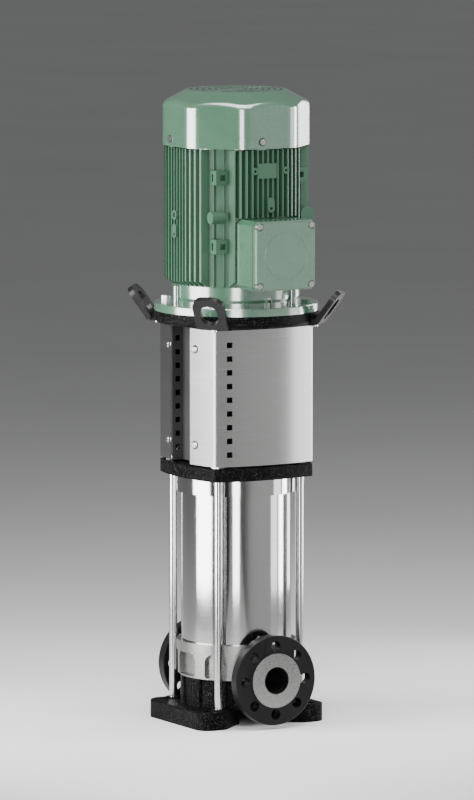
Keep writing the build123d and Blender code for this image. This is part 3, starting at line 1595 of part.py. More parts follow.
with BuildPart() as fan_cover_screws:
    for turn in range(0, 360, 90):
        with BuildSketch(side_plane(turn, cover_apothem, cover_screw_height)):
            with Locations((-cover_screw_offset, 0)):
                Circle(cover_screw_head_radius)
        extrude(amount=cover_screw_head)
        with BuildSketch(side_plane(turn, cover_apothem, cover_screw_height)):
            with Locations((-cover_screw_offset, 0)):
                Circle(cover_screw_radius)
        extrude(amount=-cover_screw_length)
write_step(fan_cover_screws, "fan_cover_screws")

# Terminal box: body, gasket, lid, screws, board and blanking plugs
lid_screw_x = box_width - 2 * lid_screw_inset
lid_screw_z = box_height - 2 * lid_screw_inset
plug_places = [(y, box_middle + shift) for y in (box_back + plug_setback,) for shift in (-plug_spacing / 2, plug_spacing / 2)]


def box_outline(shrink):
    """Sketch the box outline with its cut corners."""
    with BuildSketch(mode=Mode.PRIVATE) as outline:
        Rectangle(box_width - 2 * shrink, box_height - 2 * shrink)
        chamfer(outline.vertices(), box_chamfer)
    return outline.sketch


with BuildPart() as terminal_box:
    with BuildSketch(side_plane(0, box_back, box_middle)):
        add(box_outline(box_shoulder_inset))
    extrude(amount=box_shoulder_depth)
    with BuildSketch(side_plane(0, box_back + box_shoulder_depth, box_middle)):
        add(box_outline(0))
    extrude(amount=gasket_back - box_back - box_shoulder_depth)
    with BuildSketch(side_plane(0, pedestal_face + box_wall, box_middle)):
        add(box_outline(box_wall))
    extrude(amount=gasket_back - pedestal_face, mode=Mode.SUBTRACT)
    with BuildSketch(side_plane(0, gasket_back, box_middle)):
        with GridLocations(lid_screw_x, lid_screw_z, 2, 2):
            Circle(box_post_radius)
    extrude(amount=-box_post_length)
    with BuildSketch(Plane.XY.offset(box_bottom)):
        Circle(core_radius + loose_gap)
    extrude(amount=box_height, mode=Mode.SUBTRACT)
    with BuildSketch(Plane.XY.offset(box_bottom + box_wall - seat_gap)):
        with Locations((0, -pedestal_face / 2)):
            Rectangle(2 * pedestal_half_width + 2 * seat_gap, pedestal_face + 2 * seat_gap)
    extrude(amount=box_height - 2 * box_wall + 2 * seat_gap, mode=Mode.SUBTRACT)
    with BuildSketch(side_plane(0, gasket_back, box_middle)):
        with GridLocations(lid_screw_x, lid_screw_z, 2, 2):
            Circle(lid_screw_radius + screw_gap)
    extrude(amount=-lid_screw_grip - 6, mode=Mode.SUBTRACT)
    with BuildSketch(side_plane(90, box_width / 2, box_middle)):
        with Locations((-box_back - plug_setback, 0)):
            with GridLocations(1, plug_spacing, 1, 2):
                Circle(blanking_plug_radius)
    extrude(amount=-box_wall - 2, mode=Mode.SUBTRACT)
write_step(terminal_box, "terminal_box")

with BuildPart() as blanking_plugs:
    with BuildSketch(side_plane(90, box_width / 2, box_middle)):
        with Locations((-box_back - plug_setback, 0)):
            with GridLocations(1, plug_spacing, 1, 2):
                RegularPolygon(blanking_hex_width / 2, 6, major_radius=False)
    extrude(amount=blanking_hex_height)
    with BuildSketch(side_plane(90, box_width / 2, box_middle)):
        with Locations((-box_back - plug_setback, 0)):
            with GridLocations(1, plug_spacing, 1, 2):
                Circle(blanking_plug_radius - screw_gap)
    extrude(amount=-box_wall + 0.5)
write_step(blanking_plugs, "blanking_plugs")

with BuildPart() as terminal_gasket:
    with BuildSketch(side_plane(0, gasket_back, box_middle)):
        add(box_outline(gasket_inset))
        add(box_outline(box_wall), mode=Mode.SUBTRACT)
        with GridLocations(lid_screw_x, lid_screw_z, 2, 2):
            Circle(lid_screw_radius + 0.7, mode=Mode.SUBTRACT)
    extrude(amount=gasket_thickness)
write_step(terminal_gasket, "terminal_gasket")

panel_back = box_face - lid_panel_height
with BuildPart() as terminal_lid:
    with BuildSketch(side_plane(0, lid_back, box_middle)):
        add(box_outline(0))
    extrude(amount=lid_thickness - lid_panel_height)
    with BuildSketch(side_plane(0, panel_back, box_middle)):
        add(box_outline(lid_panel_inset))
        with GridLocations(lid_screw_x, lid_screw_z, 2, 2):
            Circle(lid_pocket_radius, mode=Mode.SUBTRACT)
    extrude(amount=lid_panel_height)
    with BuildSketch(side_plane(0, box_face, box_middle)):
        Circle(lid_circle_radius + lid_groove_width / 2)
        Circle(lid_circle_radius - lid_groove_width / 2, mode=Mode.SUBTRACT)
    extrude(amount=-lid_groove_depth, mode=Mode.SUBTRACT)
    with BuildSketch(side_plane(0, lid_back, box_middle)):
        with GridLocations(lid_screw_x, lid_screw_z, 2, 2):
            Circle(lid_screw_radius + loose_gap)
    extrude(amount=lid_thickness, mode=Mode.SUBTRACT)
write_step(terminal_lid, "terminal_lid")

with BuildPart() as terminal_lid_screws:
    with BuildSketch(side_plane(0, panel_back, box_middle)):
        with GridLocations(lid_screw_x, lid_screw_z, 2, 2):
            Circle(lid_screw_head_radius)
    extrude(amount=lid_screw_head)
    with BuildSketch(side_plane(0, panel_back, box_middle)):
        with GridLocations(lid_screw_x, lid_screw_z, 2, 2):
            Circle(lid_screw_radius)
    extrude(amount=-lid_thickness - lid_screw_grip)
write_step(terminal_lid_screws, "terminal_lid_screws")

board_back = pedestal_face + box_wall
with BuildPart() as terminal_board:
    with BuildSketch(side_plane(0, board_back, box_middle)):
        Rectangle(board_width, board_height)
    extrude(amount=board_thickness)
    with BuildSketch(side_plane(0, board_back + board_thickness, box_middle)):
        with GridLocations(stud_pitch_x, stud_pitch_z, 3, 2):
            Circle(stud_radius)
    extrude(amount=stud_length)
write_step(terminal_board, "terminal_board")

# Clamp coupling in two halves and its screws
coupling_bottom = pump_shaft_top - coupling_grip
coupling_top = shaft_bottom + coupling_grip
coupling_length = coupling_top - coupling_bottom
coupling_middle = (coupling_bottom + coupling_top) / 2
screw_seat = coupling_ear_width / 2
with BuildPart() as coupling_halves:
    with BuildSketch(Plane.XY.offset(coupling_bottom)):
        Circle(coupling_radius)
        Rectangle(coupling_ear_width, 2 * coupling_ear)
    extrude(amount=coupling_length)
    with BuildSketch(Plane.XY.offset(coupling_bottom)):
        Circle(pump_shaft_radius + screw_gap)
    extrude(amount=coupling_length, mode=Mode.SUBTRACT)
    with BuildSketch(Plane.XY.offset(pump_shaft_top)):
        Circle(shaft_radius + screw_gap)
    extrude(amount=coupling_top - pump_shaft_top, mode=Mode.SUBTRACT)
    with BuildSketch(Plane.XY.offset(coupling_bottom)):
        Rectangle(2 * coupling_gap, 3 * coupling_ear)
    extrude(amount=coupling_length, mode=Mode.SUBTRACT)
    with BuildSketch(side_plane(90, 0, coupling_middle)):
        with GridLocations(2 * coupling_screw_y, coupling_length - 2 * coupling_screw_margin, 2, 2):
            Circle(coupling_screw_radius + screw_gap)
    extrude(amount=coupling_radius, both=True, mode=Mode.SUBTRACT)
write_step(coupling_halves, "coupling_halves")

with BuildPart() as coupling_screws:
    with BuildSketch(side_plane(90, screw_seat, coupling_middle)):
        with GridLocations(2 * coupling_screw_y, coupling_length - 2 * coupling_screw_margin, 2, 2):
            Circle(coupling_screw_head_radius)
    extrude(amount=coupling_screw_head)
    with BuildSketch(side_plane(90, screw_seat, coupling_middle)):
        with GridLocations(2 * coupling_screw_y, coupling_length - 2 * coupling_screw_margin, 2, 2):
            Circle(coupling_screw_radius)
    extrude(amount=1 - coupling_ear_width)
write_step(coupling_screws, "coupling_screws")
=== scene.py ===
"""Vertical multistage pump: finishes, small fittings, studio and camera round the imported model."""

import logging
import math
from dataclasses import dataclass
from enum import Enum

import bpy
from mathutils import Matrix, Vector


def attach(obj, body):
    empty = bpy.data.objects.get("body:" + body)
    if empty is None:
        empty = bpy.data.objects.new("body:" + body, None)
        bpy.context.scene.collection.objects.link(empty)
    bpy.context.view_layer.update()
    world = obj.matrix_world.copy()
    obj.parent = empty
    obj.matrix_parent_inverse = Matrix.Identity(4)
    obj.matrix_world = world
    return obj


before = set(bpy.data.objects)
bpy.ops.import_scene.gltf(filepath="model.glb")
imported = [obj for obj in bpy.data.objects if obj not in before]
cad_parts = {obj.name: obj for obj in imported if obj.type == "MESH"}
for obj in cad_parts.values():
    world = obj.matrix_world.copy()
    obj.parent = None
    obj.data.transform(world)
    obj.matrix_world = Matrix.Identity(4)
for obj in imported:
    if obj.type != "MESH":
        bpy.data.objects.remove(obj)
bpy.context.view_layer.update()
MIDDLE = (0.3, 0.7)  # the part of a pattern's range that a colour or roughness is spread over
log = logging.getLogger("pump")

Colour = tuple[float, float, float]
Range = tuple[float, float]
Seat = tuple[Vector, Vector]  # middle of a screw's seat, and the direction away from it


class Grain(Enum):
    """Direction in which a metal surface was brushed or turned, as waves per metre along X, Y and Z."""

    LEVEL = (9.0, 9.0, 2600.0)
    UPRIGHT = (2200.0, 2200.0, 7.0)
    EVEN = (900.0, 900.0, 900.0)


class Surface:
    """Node tree of one finish, with the few calls that all finishes share."""

    def __init__(self, name: str) -> None:
        """Start a material with a bare shader.

        Args:
            name: Name of the material.
        """
        self.material = bpy.data.materials.new(name)
        self.material.use_nodes = True
        self.tree = self.material.node_tree
        self.tree.nodes.clear()
        self.shader = self.tree.nodes.new("ShaderNodeBsdfPrincipled")
        output = self.tree.nodes.new("ShaderNodeOutputMaterial")
        self.tree.links.new(self.shader.outputs["BSDF"], output.inputs["Surface"])
        self.place = self.tree.nodes.new("ShaderNodeTexCoord").outputs["Object"]

    def constant(self, **values: float) -> None:
        """Set shader sockets, given with underscores for spaces."""
        for name, value in values.items():
            self.shader.inputs[name.replace("_", " ")].default_value = value

    def stretched(self, scale: tuple[float, float, float]) -> bpy.types.NodeSocket:
        """Give the object's coordinates, scaled along each axis.

        Args:
            scale: Factor for X, Y and Z, in waves per metre.

        Returns:
            The vector socket to feed a texture.
        """
        mapping = self.tree.nodes.new("ShaderNodeMapping")
        mapping.inputs["Scale"].default_value = scale
        self.tree.links.new(self.place, mapping.inputs["Vector"])
        return mapping.outputs["Vector"]

    def noise(self, scale: tuple[float, float, float], detail: float) -> bpy.types.NodeSocket:
        """Add a noise pattern.

        Args:
            scale: Waves per metre along each axis.
            detail: Number of finer octaves.

        Returns:
            The socket with values from 0 to 1.
        """
        texture = self.tree.nodes.new("ShaderNodeTexNoise")
        texture.inputs["Scale"].default_value = 1.0
        texture.inputs["Detail"].default_value = detail
        self.tree.links.new(self.stretched(scale), texture.inputs["Vector"])
        return texture.outputs["Fac"]

    def even_noise(self, scale: float, detail: float) -> bpy.types.NodeSocket:
        """Add a noise pattern with the same scale along each axis."""
        return self.noise((scale,) * 3, detail)

    def mapped(self, value: bpy.types.NodeSocket, source: Range, target: Range) -> bpy.types.NodeSocket:
        """Map one range of a value to another.

        Args:
            value: The value to map.
            source: Range in which the value lies; what is outside is held at its ends.
            target: Range to give.

        Returns:
            The socket with the mapped value.
        """
        node = self.tree.nodes.new("ShaderNodeMapRange")
        node.inputs["From Min"].default_value, node.inputs["From Max"].default_value = source
        node.inputs["To Min"].default_value, node.inputs["To Max"].default_value = target
        self.tree.links.new(value, node.inputs["Value"])
        return node.outputs["Result"]

    def tint(self, value: bpy.types.NodeSocket, dark: Colour, light: Colour, stops: Range = MIDDLE) -> None:
        """Colour the surface from dark to light by a pattern.

        Args:
            value: The pattern, from 0 to 1.
            dark: Colour at and below the first stop.
            light: Colour at and above the second stop.
            stops: The two values between which the colour changes.
        """
        ramp = self.tree.nodes.new("ShaderNodeValToRGB")
        for element, stop, colour in zip(ramp.color_ramp.elements, stops, (dark, light)):
            element.position = stop
            element.color = (*colour, 1.0)
        self.tree.links.new(value, ramp.inputs["Fac"])
        self.tree.links.new(ramp.outputs["Color"], self.shader.inputs["Base Color"])

    def paint_shade_towards_axis(self, radii: Range, share: float) -> None:
        """Paint shade into the colour towards the upright axis, standing in for the shade that falls between
        fins.

        Args:
            radii: Radius in metres at which the colour is darkest, and from which it is untouched.
            share: Part of the colour that is left at the first radius.
        """
        level = self.tree.nodes.new("ShaderNodeVectorMath")
        level.operation = "MULTIPLY"
        level.inputs[1].default_value = (1.0, 1.0, 0.0)
        self.tree.links.new(self.place, level.inputs[0])
        radius = self.tree.nodes.new("ShaderNodeVectorMath")
        radius.operation = "LENGTH"
        self.tree.links.new(level.outputs["Vector"], radius.inputs[0])
        scaled = self.tree.nodes.new("ShaderNodeVectorMath")
        scaled.operation = "SCALE"
        colour = self.shader.inputs["Base Color"]
        self.tree.links.new(colour.links[0].from_socket, scaled.inputs[0])
        self.tree.links.new(self.mapped(radius.outputs["Value"], radii, (share, 1.0)), scaled.inputs["Scale"])
        self.tree.links.new(scaled.outputs["Vector"], colour)

    def roughness(self, value: bpy.types.NodeSocket, span: Range) -> None:
        """Vary the roughness over a span by a pattern."""
        self.tree.links.new(self.mapped(value, MIDDLE, span), self.shader.inputs["Roughness"])

    def relief(self, value: bpy.types.NodeSocket, depth: float, strength: float) -> None:
        """Raise the surface by a pattern.

        Args:
            value: The pattern, from 0 to 1.
            depth: Height of the pattern in metres.
            strength: Part of the pattern that shows.
        """
        bump = self.tree.nodes.new("ShaderNodeBump")
        bump.inputs["Distance"].default_value = depth
        bump.inputs["Strength"].default_value = strength
        self.tree.links.new(value, bump.inputs["Height"])
        self.tree.links.new(bump.outputs["Normal"], self.shader.inputs["Normal"])


@dataclass(frozen=True)
class Casting:
    """Cast metal with a granular skin, bare or coated."""

    name: str
    dark: Colour
    light: Colour
    metallic: float
    roughness: Range
    depth: float
    grain: float = 420.0
    gloss: float = 0.5
    speckle: Range = MIDDLE
    speckle_grain: float = 0.9
    sheen_grain: float = 0.6
    relief: float = 0.7

    def build(self) -> bpy.types.Material:
        """Make the material.

        Returns:
            The material, with a speckled colour and a rough relief.
        """
        surface = Surface(self.name)
        surface.constant(Metallic=self.metallic, Specular_IOR_Level=self.gloss)
        surface.tint(surface.even_noise(self.grain * self.speckle_grain, detail=3.0), self.dark, self.light,
                     self.speckle)
        surface.roughness(surface.even_noise(self.grain * self.sheen_grain, detail=3.0), self.roughness)
        surface.relief(surface.even_noise(self.grain, detail=4.0), self.depth, self.relief)
        return surface.material


@dataclass(frozen=True)
class Brushed:
    """Bare metal with fine lines along one direction."""

    name: str
    colour: Colour
    roughness: Range
    grain: Grain
    depth: float = 0.00003
    shade: float = 0.95
    relief: float = 0.4

    def build(self) -> bpy.types.Material:
        """Make the material.

        Returns:
            The material, whose lines shift colour, roughness and relief together.
        """
        surface = Surface(self.name)
        surface.constant(Metallic=1.0)
        lines = surface.noise(self.grain.value, detail=4.0)
        surface.tint(lines, tuple(self.shade * part for part in self.colour), self.colour)
        surface.roughness(lines, self.roughness)
        surface.relief(lines, self.depth, self.relief)
        return surface.material


@dataclass(frozen=True)
class Paint:
    """Sprayed paint with a faint ripple and slight shifts of colour."""

    name: str
    dark: Colour
    light: Colour
    roughness: Range
    coat: float
    gloss: float = 0.5
    # radii of the painted shade between fins: darkest at the first, untouched from the second
    painted_shade_radii: Range | None = None
    painted_shade_share: float = 0.22
    coat_roughness: float = 0.14
    coat_index: float = 2.2
    cloud_grain: float = 9.0
    sheen_grain: float = 35.0
    ripple_grain: float = 520.0
    ripple: float = 0.00001
    relief: float = 0.2

    def build(self) -> bpy.types.Material:
        """Make the material.

        Returns:
            The material, with painted shade in its recesses where it has any.
        """
        surface = Surface(self.name)
        surface.constant(Coat_Weight=self.coat, Coat_Roughness=self.coat_roughness,
                         Coat_IOR=self.coat_index, Specular_IOR_Level=self.gloss)
        surface.tint(surface.even_noise(self.cloud_grain, detail=3.0), self.dark, self.light)
        # painted shade: the colour darkens towards the upright axis, standing in for the shade between fins
        if self.painted_shade_radii:
            surface.paint_shade_towards_axis(self.painted_shade_radii, self.painted_shade_share)
        surface.roughness(surface.even_noise(self.sheen_grain, detail=4.0), self.roughness)
        surface.relief(surface.even_noise(self.ripple_grain, detail=2.0), self.ripple, self.relief)
        return surface.material


@dataclass(frozen=True)
class Moulded:
    """Plastic, rubber, carbon or enamel with a fine even texture."""

    name: str
    dark: Colour
    light: Colour
    roughness: Range
    cloud_grain: float = 140.0
    sheen_grain: float = 60.0
    texture_grain: float = 900.0
    depth: float = 0.00003
    relief: float = 0.4

    def build(self) -> bpy.types.Material:
        """Make the material.

        Returns:
            The material, with a fine texture.
        """
        surface = Surface(self.name)
        surface.tint(surface.even_noise(self.cloud_grain, detail=3.0), self.dark, self.light)
        surface.roughness(surface.even_noise(self.sheen_grain, detail=3.0), self.roughness)
        surface.relief(surface.even_noise(self.texture_grain, detail=2.0), self.depth, self.relief)
        return surface.material


Finish = Casting | Brushed | Paint | Moulded

BLACK_CASTING = Casting("black_casting", (0.001, 0.001, 0.001), (0.028, 0.028, 0.029), 0.0, (0.32, 0.5),
                        0.0018, gloss=0.03, speckle=(0.54, 0.68))
PALE_CASTING = Casting("stainless_casting", (0.2, 0.2, 0.195), (0.28, 0.28, 0.27), 1.0, (0.26, 0.38), 0.00005)
GREY_IRON = Casting("coupling_iron", (0.12, 0.12, 0.12), (0.24, 0.24, 0.24), 1.0, (0.4, 0.55), 0.0001)
BLACK_COAT = Paint("black_paint", (0.003, 0.003, 0.003), (0.007, 0.007, 0.007), (0.3, 0.4), 0.0, gloss=0.14)
LUG_COAT = Paint("lug_paint", (0.004, 0.004, 0.0045), (0.008, 0.008, 0.0085), (0.26, 0.36), 0.0, gloss=0.22)
CHANNEL_COAT = Paint("channel_paint", (0.016, 0.016, 0.016), (0.026, 0.026, 0.026), (0.4, 0.5), 0.0,
                     gloss=0.25)
MOTOR_GREEN = Paint("motor_paint", (0.036, 0.094, 0.055), (0.042, 0.106, 0.063), (0.24, 0.32), 1.0)
# the fins' recesses carry painted shade, darkest at the fin roots
FIN_GREEN = Paint("fin_paint", (0.027, 0.07, 0.041), (0.031, 0.079, 0.047), (0.38, 0.48), 0.0,
                  gloss=0.3, painted_shade_radii=(0.098, 0.122))
SHEET = Brushed("stainless_sheet", (0.42, 0.42, 0.415), (0.07, 0.13), Grain.LEVEL, 0.00001)
GUARD_SHEET = Brushed("guard_sheet", (0.38, 0.38, 0.375), (0.2, 0.28), Grain.LEVEL)
BAR = Brushed("stainless_bar", (0.52, 0.52, 0.515), (0.12, 0.2), Grain.UPRIGHT, 0.000006)
ZINC = Brushed("zinc_steel", (0.5, 0.5, 0.49), (0.2, 0.3), Grain.EVEN, 0.000006)
GROUND = Brushed("bearing_steel", (0.7, 0.7, 0.7), (0.1, 0.2), Grain.LEVEL, 0.000006)
LAMINATION = Brushed("core_steel", (0.3, 0.3, 0.31), (0.35, 0.5), Grain.LEVEL)
PLASTIC = Moulded("black_plastic", (0.012, 0.012, 0.012), (0.024, 0.024, 0.024), (0.4, 0.52))
RUBBER = Moulded("rubber_seal", (0.01, 0.01, 0.01), (0.018, 0.018, 0.018), (0.6, 0.75))
CARBON = Moulded("carbon", (0.025, 0.025, 0.028), (0.045, 0.045, 0.05), (0.22, 0.35))
ENAMEL = Moulded("copper_winding", (0.22, 0.075, 0.03), (0.34, 0.12, 0.05), (0.3, 0.42))


class Wardrobe:
    """The materials made so far, each finish once."""

    def __init__(self) -> None:
        """Start with no material."""
        self.materials: dict[str, bpy.types.Material] = {}

    def material(self, finish: Finish) -> bpy.types.Material:
        """Give a finish's material.

        Args:
            finish: The finish, whose material is made at its first use.

        Returns:
            The material.
        """
        if finish.name not in self.materials:
            self.materials[finish.name] = finish.build()
        return self.materials[finish.name]


@dataclass(frozen=True)
class CoverSeats:
    """Seats of the fan cover's screws, one on each of the motor's four sides.

    The face is measured from the upright axis, the offset to the left of a side's middle seen from outside.
    """

    face: float = 0.12802
    offset: float = 0.018
    height: float = 1.071

    def places(self) -> tuple[Seat, ...]:
        """Give the four seats.

        Returns:
            The middle of each seat and the direction away from it, in metres.
        """
        sides = (((0, -1, 0), (-1, 0, 0)), ((1, 0, 0), (0, -1, 0)),
                 ((0, 1, 0), (1, 0, 0)), ((-1, 0, 0), (0, 1, 0)))
        rise = Vector((0, 0, self.height))
        return tuple((self.face * Vector(away) + self.offset * Vector(along) + rise, Vector(away))
                     for away, along in sides)


@dataclass(frozen=True)
class ReturnSeats:
    """Seats of the guard screws, on the four returns of the guards, which lean by an angle in degrees."""

    aside: float = 0.11368
    offset: float = 0.05
    lean: float = 12.0
    heights: Range = (0.518, 0.693)

    def places(self) -> tuple[Seat, ...]:
        """Give the eight seats.

        Returns:
            The middle of each seat and the direction away from it, in metres.
        """
        cosine, sine = math.cos(math.radians(self.lean)), math.sin(math.radians(self.lean))
        return tuple((Vector((side_x * self.aside, side_y * self.offset, height)),
                      Vector((side_x * cosine, side_y * sine, 0.0)))
                     for height in self.heights for side_x in (1, -1) for side_y in (1, -1))


@dataclass(frozen=True)
class Washer:
    """Flat ring with softened edges, modelled once and copied to every screw."""

    name: str
    bore: float
    radius: float
    thickness: float
    finish: Finish
    seats: CoverSeats | ReturnSeats
    edge: float = 0.0002
    edge_steps: int = 2
    sides: int = 72

    def model(self) -> bpy.types.Object:
        """Model the ring on the floor plane, its axis upright.

        Returns:
            The ring, without its finish.
        """
        bpy.ops.object.select_all(action="DESELECT")
        bpy.ops.mesh.primitive_circle_add(vertices=self.sides, radius=self.bore, location=(0.0, 0.0, 0.0))
        ring = bpy.context.object
        grow = self.radius / self.bore
        bpy.ops.object.mode_set(mode="EDIT")
        bpy.ops.mesh.select_all(action="SELECT")
        bpy.ops.mesh.extrude_region_move()
        bpy.ops.transform.resize(value=(grow, grow, 1.0), center_override=(0.0, 0.0, 0.0))
        bpy.ops.mesh.select_all(action="SELECT")
        bpy.ops.mesh.extrude_region_move(TRANSFORM_OT_translate={"value": (0.0, 0.0, self.thickness)})
        bpy.ops.mesh.select_all(action="SELECT")
        bpy.ops.mesh.normals_make_consistent(inside=False)
        bpy.ops.object.mode_set(mode="OBJECT")
        softened = ring.modifiers.new("edge", "BEVEL")
        softened.width, softened.segments = self.edge, self.edge_steps
        bpy.ops.object.modifier_apply(modifier=softened.name)
        return ring

    def fit(self, wardrobe: Wardrobe) -> None:
        """Copy the ring to each seat and let it ride on the frame.

        Args:
            wardrobe: Materials made so far.
        """
        pattern = self.model()
        pattern.data.materials.append(wardrobe.material(self.finish))
        for number, (seat, away) in enumerate(self.seats.places(), 1):
            ring = pattern.copy()
            ring.data = pattern.data.copy()
            ring.name = ring.data.name = f"{self.name}_{number}"
            bpy.context.scene.collection.objects.link(ring)
            ring.location = seat
            ring.rotation_euler = away.to_track_quat("Z", "Y").to_euler()
            bpy.ops.object.select_all(action="DESELECT")
            ring.select_set(True)
            bpy.context.view_layer.objects.active = ring
            bpy.ops.object.transform_apply(location=True, rotation=True, scale=True)
            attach(ring, "frame")
            log.info("%s fitted", ring.name)
        bpy.data.objects.remove(pattern)


@dataclass
class SubAssembly:
    """A group of CAD nodes with the finish that each one wears, and the washers that the scene adds."""

    title: str
    finishes: dict[Finish, tuple[str, ...]]
    washers: tuple[Washer, ...] = ()

    def dress(self, wardrobe: Wardrobe) -> None:
        """Give each node its material.

        Args:
            wardrobe: Materials made so far.
        """
        for finish, nodes in self.finishes.items():
            for name in nodes:
                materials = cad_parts[name].data.materials
                materials.clear()
                materials.append(wardrobe.material(finish))
                log.info("%s: %s wears %s", self.title, name, finish.name)

    def fit(self, wardrobe: Wardrobe) -> None:
        """Add the washers."""
        for washer in self.washers:
            washer.fit(wardrobe)


def numbered(stem: str) -> tuple[str, ...]:
    """Give the names of all nodes that start with a stem, in order."""
    return tuple(sorted(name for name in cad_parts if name.startswith(stem)))


PUMP_END = SubAssembly("pump end", {
    BLACK_CASTING: ("base_foot",),
    PALE_CASTING: ("pump_housing",),
    BLACK_COAT: ("suction_flange_ring", "discharge_flange_ring"),
    SHEET: ("outer_sleeve", "pump_head", "discharge_spider", *numbered("stage_casing_"),
            *numbered("impeller_")),
    BAR: ("tie_rods", "pump_shaft", "shaft_nut", "vent_plug", "drain_plug", "seal_gland",
          "seal_gland_screws", "seal_head"),
    ZINC: ("tie_rod_nuts",),
    RUBBER: ("sleeve_seals",),
    CARBON: ("bottom_bush", "seal_seat"),
})
LANTERN = SubAssembly("lantern", {
    BLACK_CASTING: ("lantern",),
    GUARD_SHEET: ("front_coupling_guard", "rear_coupling_guard"),
    CHANNEL_COAT: ("right_inner_guard", "left_inner_guard"),
    LUG_COAT: ("lifting_lugs",),
    ZINC: ("guard_screws", "lifting_lug_screws", "coupling_screws"),
    GREY_IRON: ("coupling_halves",),
}, (Washer("guard_screw_washer", 0.0061, 0.0079, 0.0008, RUBBER, ReturnSeats()),))
MOTOR = SubAssembly("motor", {
    MOTOR_GREEN: ("motor_flange", "motor_flange_bolts", "rear_end_shield", "fan_cover", "terminal_box",
                  "terminal_lid"),
    FIN_GREEN: ("motor_housing",),
    ZINC: ("fan_cover_screws", "terminal_lid_screws"),
    PLASTIC: ("cooling_fan", "blanking_plugs", "terminal_board"),
    RUBBER: ("terminal_gasket",),
    LAMINATION: ("stator_core", "rotor_core"),
    ENAMEL: ("stator_winding",),
    GROUND: ("bearing_outer_rings", "bearing_inner_rings", "bearing_balls", "motor_shaft"),
}, (Washer("cover_screw_washer", 0.0054, 0.0074, 0.0009, RUBBER, CoverSeats()),))


@dataclass(frozen=True)
class Lamp:
    """Soft rectangular lamp. Its azimuth is in degrees to the right of the camera's."""

    name: str
    azimuth: float
    height: float
    distance: float
    width: float
    length: float
    watts: float
    spread: float = 125.0


@dataclass(frozen=True)
class Card:
    """Upright card that shows only in reflections, lying along the view.

    It stands aside by a distance to the right, and runs from near to far in front of the pump's axis.
    """

    name: str
    aside: float
    near: float
    far: float
    shade: float
    contrast: float = 1.2
    grain: float = 2.0
    roughness: float = 0.9


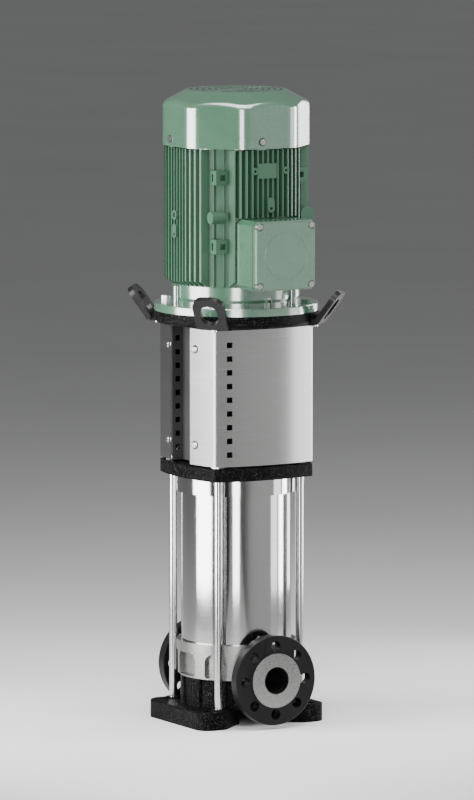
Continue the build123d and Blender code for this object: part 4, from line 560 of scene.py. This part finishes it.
@dataclass(frozen=True)
class Studio:
    """Pale floor, soft lamps and the camera, at the photograph's angle."""

    azimuth: float = -29.472
    elevation: float = 6.654
    distance: float = 12.326
    target_height: float = 0.58865
    target_right: float = 0.0015
    lens: float = 303.29
    sensor_width: float = 36.0
    clip_end: float = 200.0
    floor_size: float = 90.0
    floor_dark: Colour = (0.6, 0.6, 0.6)
    floor_light: Colour = (0.63, 0.63, 0.63)
    floor_grain: float = 1.5
    floor_roughness: float = 0.8
    room_colour: Colour = (0.92, 0.93, 0.94)
    room_strength: float = 0.22
    card_height: float = 1.5
    lamps: tuple[Lamp, ...] = (
        Lamp("left_lamp", -69.0, 0.74, 1.2, 0.87, 1.36, 34.0),
        Lamp("front_lamp", 0.0, 0.74, 1.2, 0.28, 1.36, 7.4),
        Lamp("side_lamp", 84.0, 0.74, 1.2, 0.4, 1.36, 3.2),
        Lamp("right_lamp", 104.0, 0.74, 1.2, 0.3, 1.36, 10.6),
        Lamp("rim_lamp", 139.0, 0.74, 1.2, 0.4, 1.36, 4.6),
        Lamp("top_lamp", 10.0, 3.2, 1.0, 2.4, 2.4, 82.0),
    )
    cards: tuple[Card, ...] = (
        Card("left_card", -0.46, 0.46, 1.9, 0.01),
        Card("right_card", 0.46, 0.17, 3.6, 0.2),
    )

    def direction(self, azimuth: float, elevation: float) -> Vector:
        """Give the unit vector from the object towards an azimuth and elevation in degrees."""
        a, e = math.radians(azimuth), math.radians(elevation)
        return Vector((math.sin(a) * math.cos(e), -math.cos(a) * math.cos(e), math.sin(e)))

    def right(self) -> Vector:
        """Give the unit vector to the camera's right."""
        turn = math.radians(self.azimuth)
        return Vector((math.cos(turn), math.sin(turn), 0.0))

    def set_room(self) -> None:
        """Lay the floor and light the room faintly."""
        bpy.ops.mesh.primitive_plane_add(size=self.floor_size, location=(0.0, 0.0, 0.0))
        floor = bpy.context.object
        floor.name = "floor"
        surface = Surface("floor")
        surface.tint(surface.even_noise(self.floor_grain, detail=2.0), self.floor_dark, self.floor_light)
        surface.constant(Roughness=self.floor_roughness)
        floor.data.materials.append(surface.material)
        world = bpy.data.worlds.new("room")
        world.use_nodes = True
        background = world.node_tree.nodes["Background"]
        background.inputs["Color"].default_value = (*self.room_colour, 1.0)
        background.inputs["Strength"].default_value = self.room_strength
        bpy.context.scene.world = world

    def set_lamps(self) -> None:
        """Hang the soft lamps round the pump, each facing its middle."""
        middle = Vector((0.0, 0.0, self.target_height))
        for lamp in self.lamps:
            data = bpy.data.lights.new(lamp.name, "AREA")
            data.shape = "RECTANGLE"
            data.size, data.size_y, data.energy = lamp.width, lamp.length, lamp.watts
            data.spread = math.radians(lamp.spread)
            light = bpy.data.objects.new(lamp.name, data)
            away = self.direction(self.azimuth + lamp.azimuth, 0.0) * lamp.distance
            light.location = Vector((away.x, away.y, lamp.height))
            light.rotation_euler = (middle - light.location).to_track_quat("-Z", "Y").to_euler()
            bpy.context.scene.collection.objects.link(light)

    def set_cards(self) -> None:
        """Stand the cards on the floor for the metal and the paint to reflect."""
        turn = math.radians(self.azimuth) - math.pi / 2
        for card in self.cards:
            place = self.right() * card.aside
            place += self.direction(self.azimuth, 0.0) * (0.5 * (card.near + card.far))
            bpy.ops.mesh.primitive_plane_add(size=1.0, location=(place.x, place.y, 0.5 * self.card_height),
                                             rotation=(math.pi / 2, 0.0, turn))
            plane = bpy.context.object
            plane.name = card.name
            plane.scale = (card.far - card.near, self.card_height, 1.0)
            plane.visible_camera = plane.visible_shadow = plane.visible_diffuse = False
            surface = Surface(card.name)
            surface.tint(surface.even_noise(card.grain, detail=2.0), (card.shade,) * 3,
                         (card.contrast * card.shade,) * 3)
            surface.constant(Roughness=card.roughness)
            plane.data.materials.append(surface.material)

    def set_camera(self) -> None:
        """Make the camera and point it at the pump."""
        back = self.direction(self.azimuth, self.elevation)
        data = bpy.data.cameras.new("camera")
        data.sensor_width = self.sensor_width
        data.lens = self.lens
        data.clip_end = self.clip_end
        camera = bpy.data.objects.new("camera", data)
        target = Vector((0.0, 0.0, self.target_height)) + self.target_right * self.right()
        camera.location = target + back * self.distance
        camera.rotation_euler = (-back).to_track_quat("-Z", "Y").to_euler()
        bpy.context.scene.collection.objects.link(camera)
        bpy.context.scene.camera = camera


def main() -> None:
    """Dress the sub-assemblies, add the fittings, then set up the studio."""
    logging.basicConfig(level=logging.INFO, format="%(name)s %(message)s")
    bpy.ops.object.select_all(action="DESELECT")
    wardrobe = Wardrobe()
    for assembly in (PUMP_END, LANTERN, MOTOR):
        assembly.dress(wardrobe)
    for assembly in (MOTOR, LANTERN):
        assembly.fit(wardrobe)
    studio = Studio()
    studio.set_room()
    studio.set_lamps()
    studio.set_cards()
    studio.set_camera()


if __name__ == "__main__":
    main()
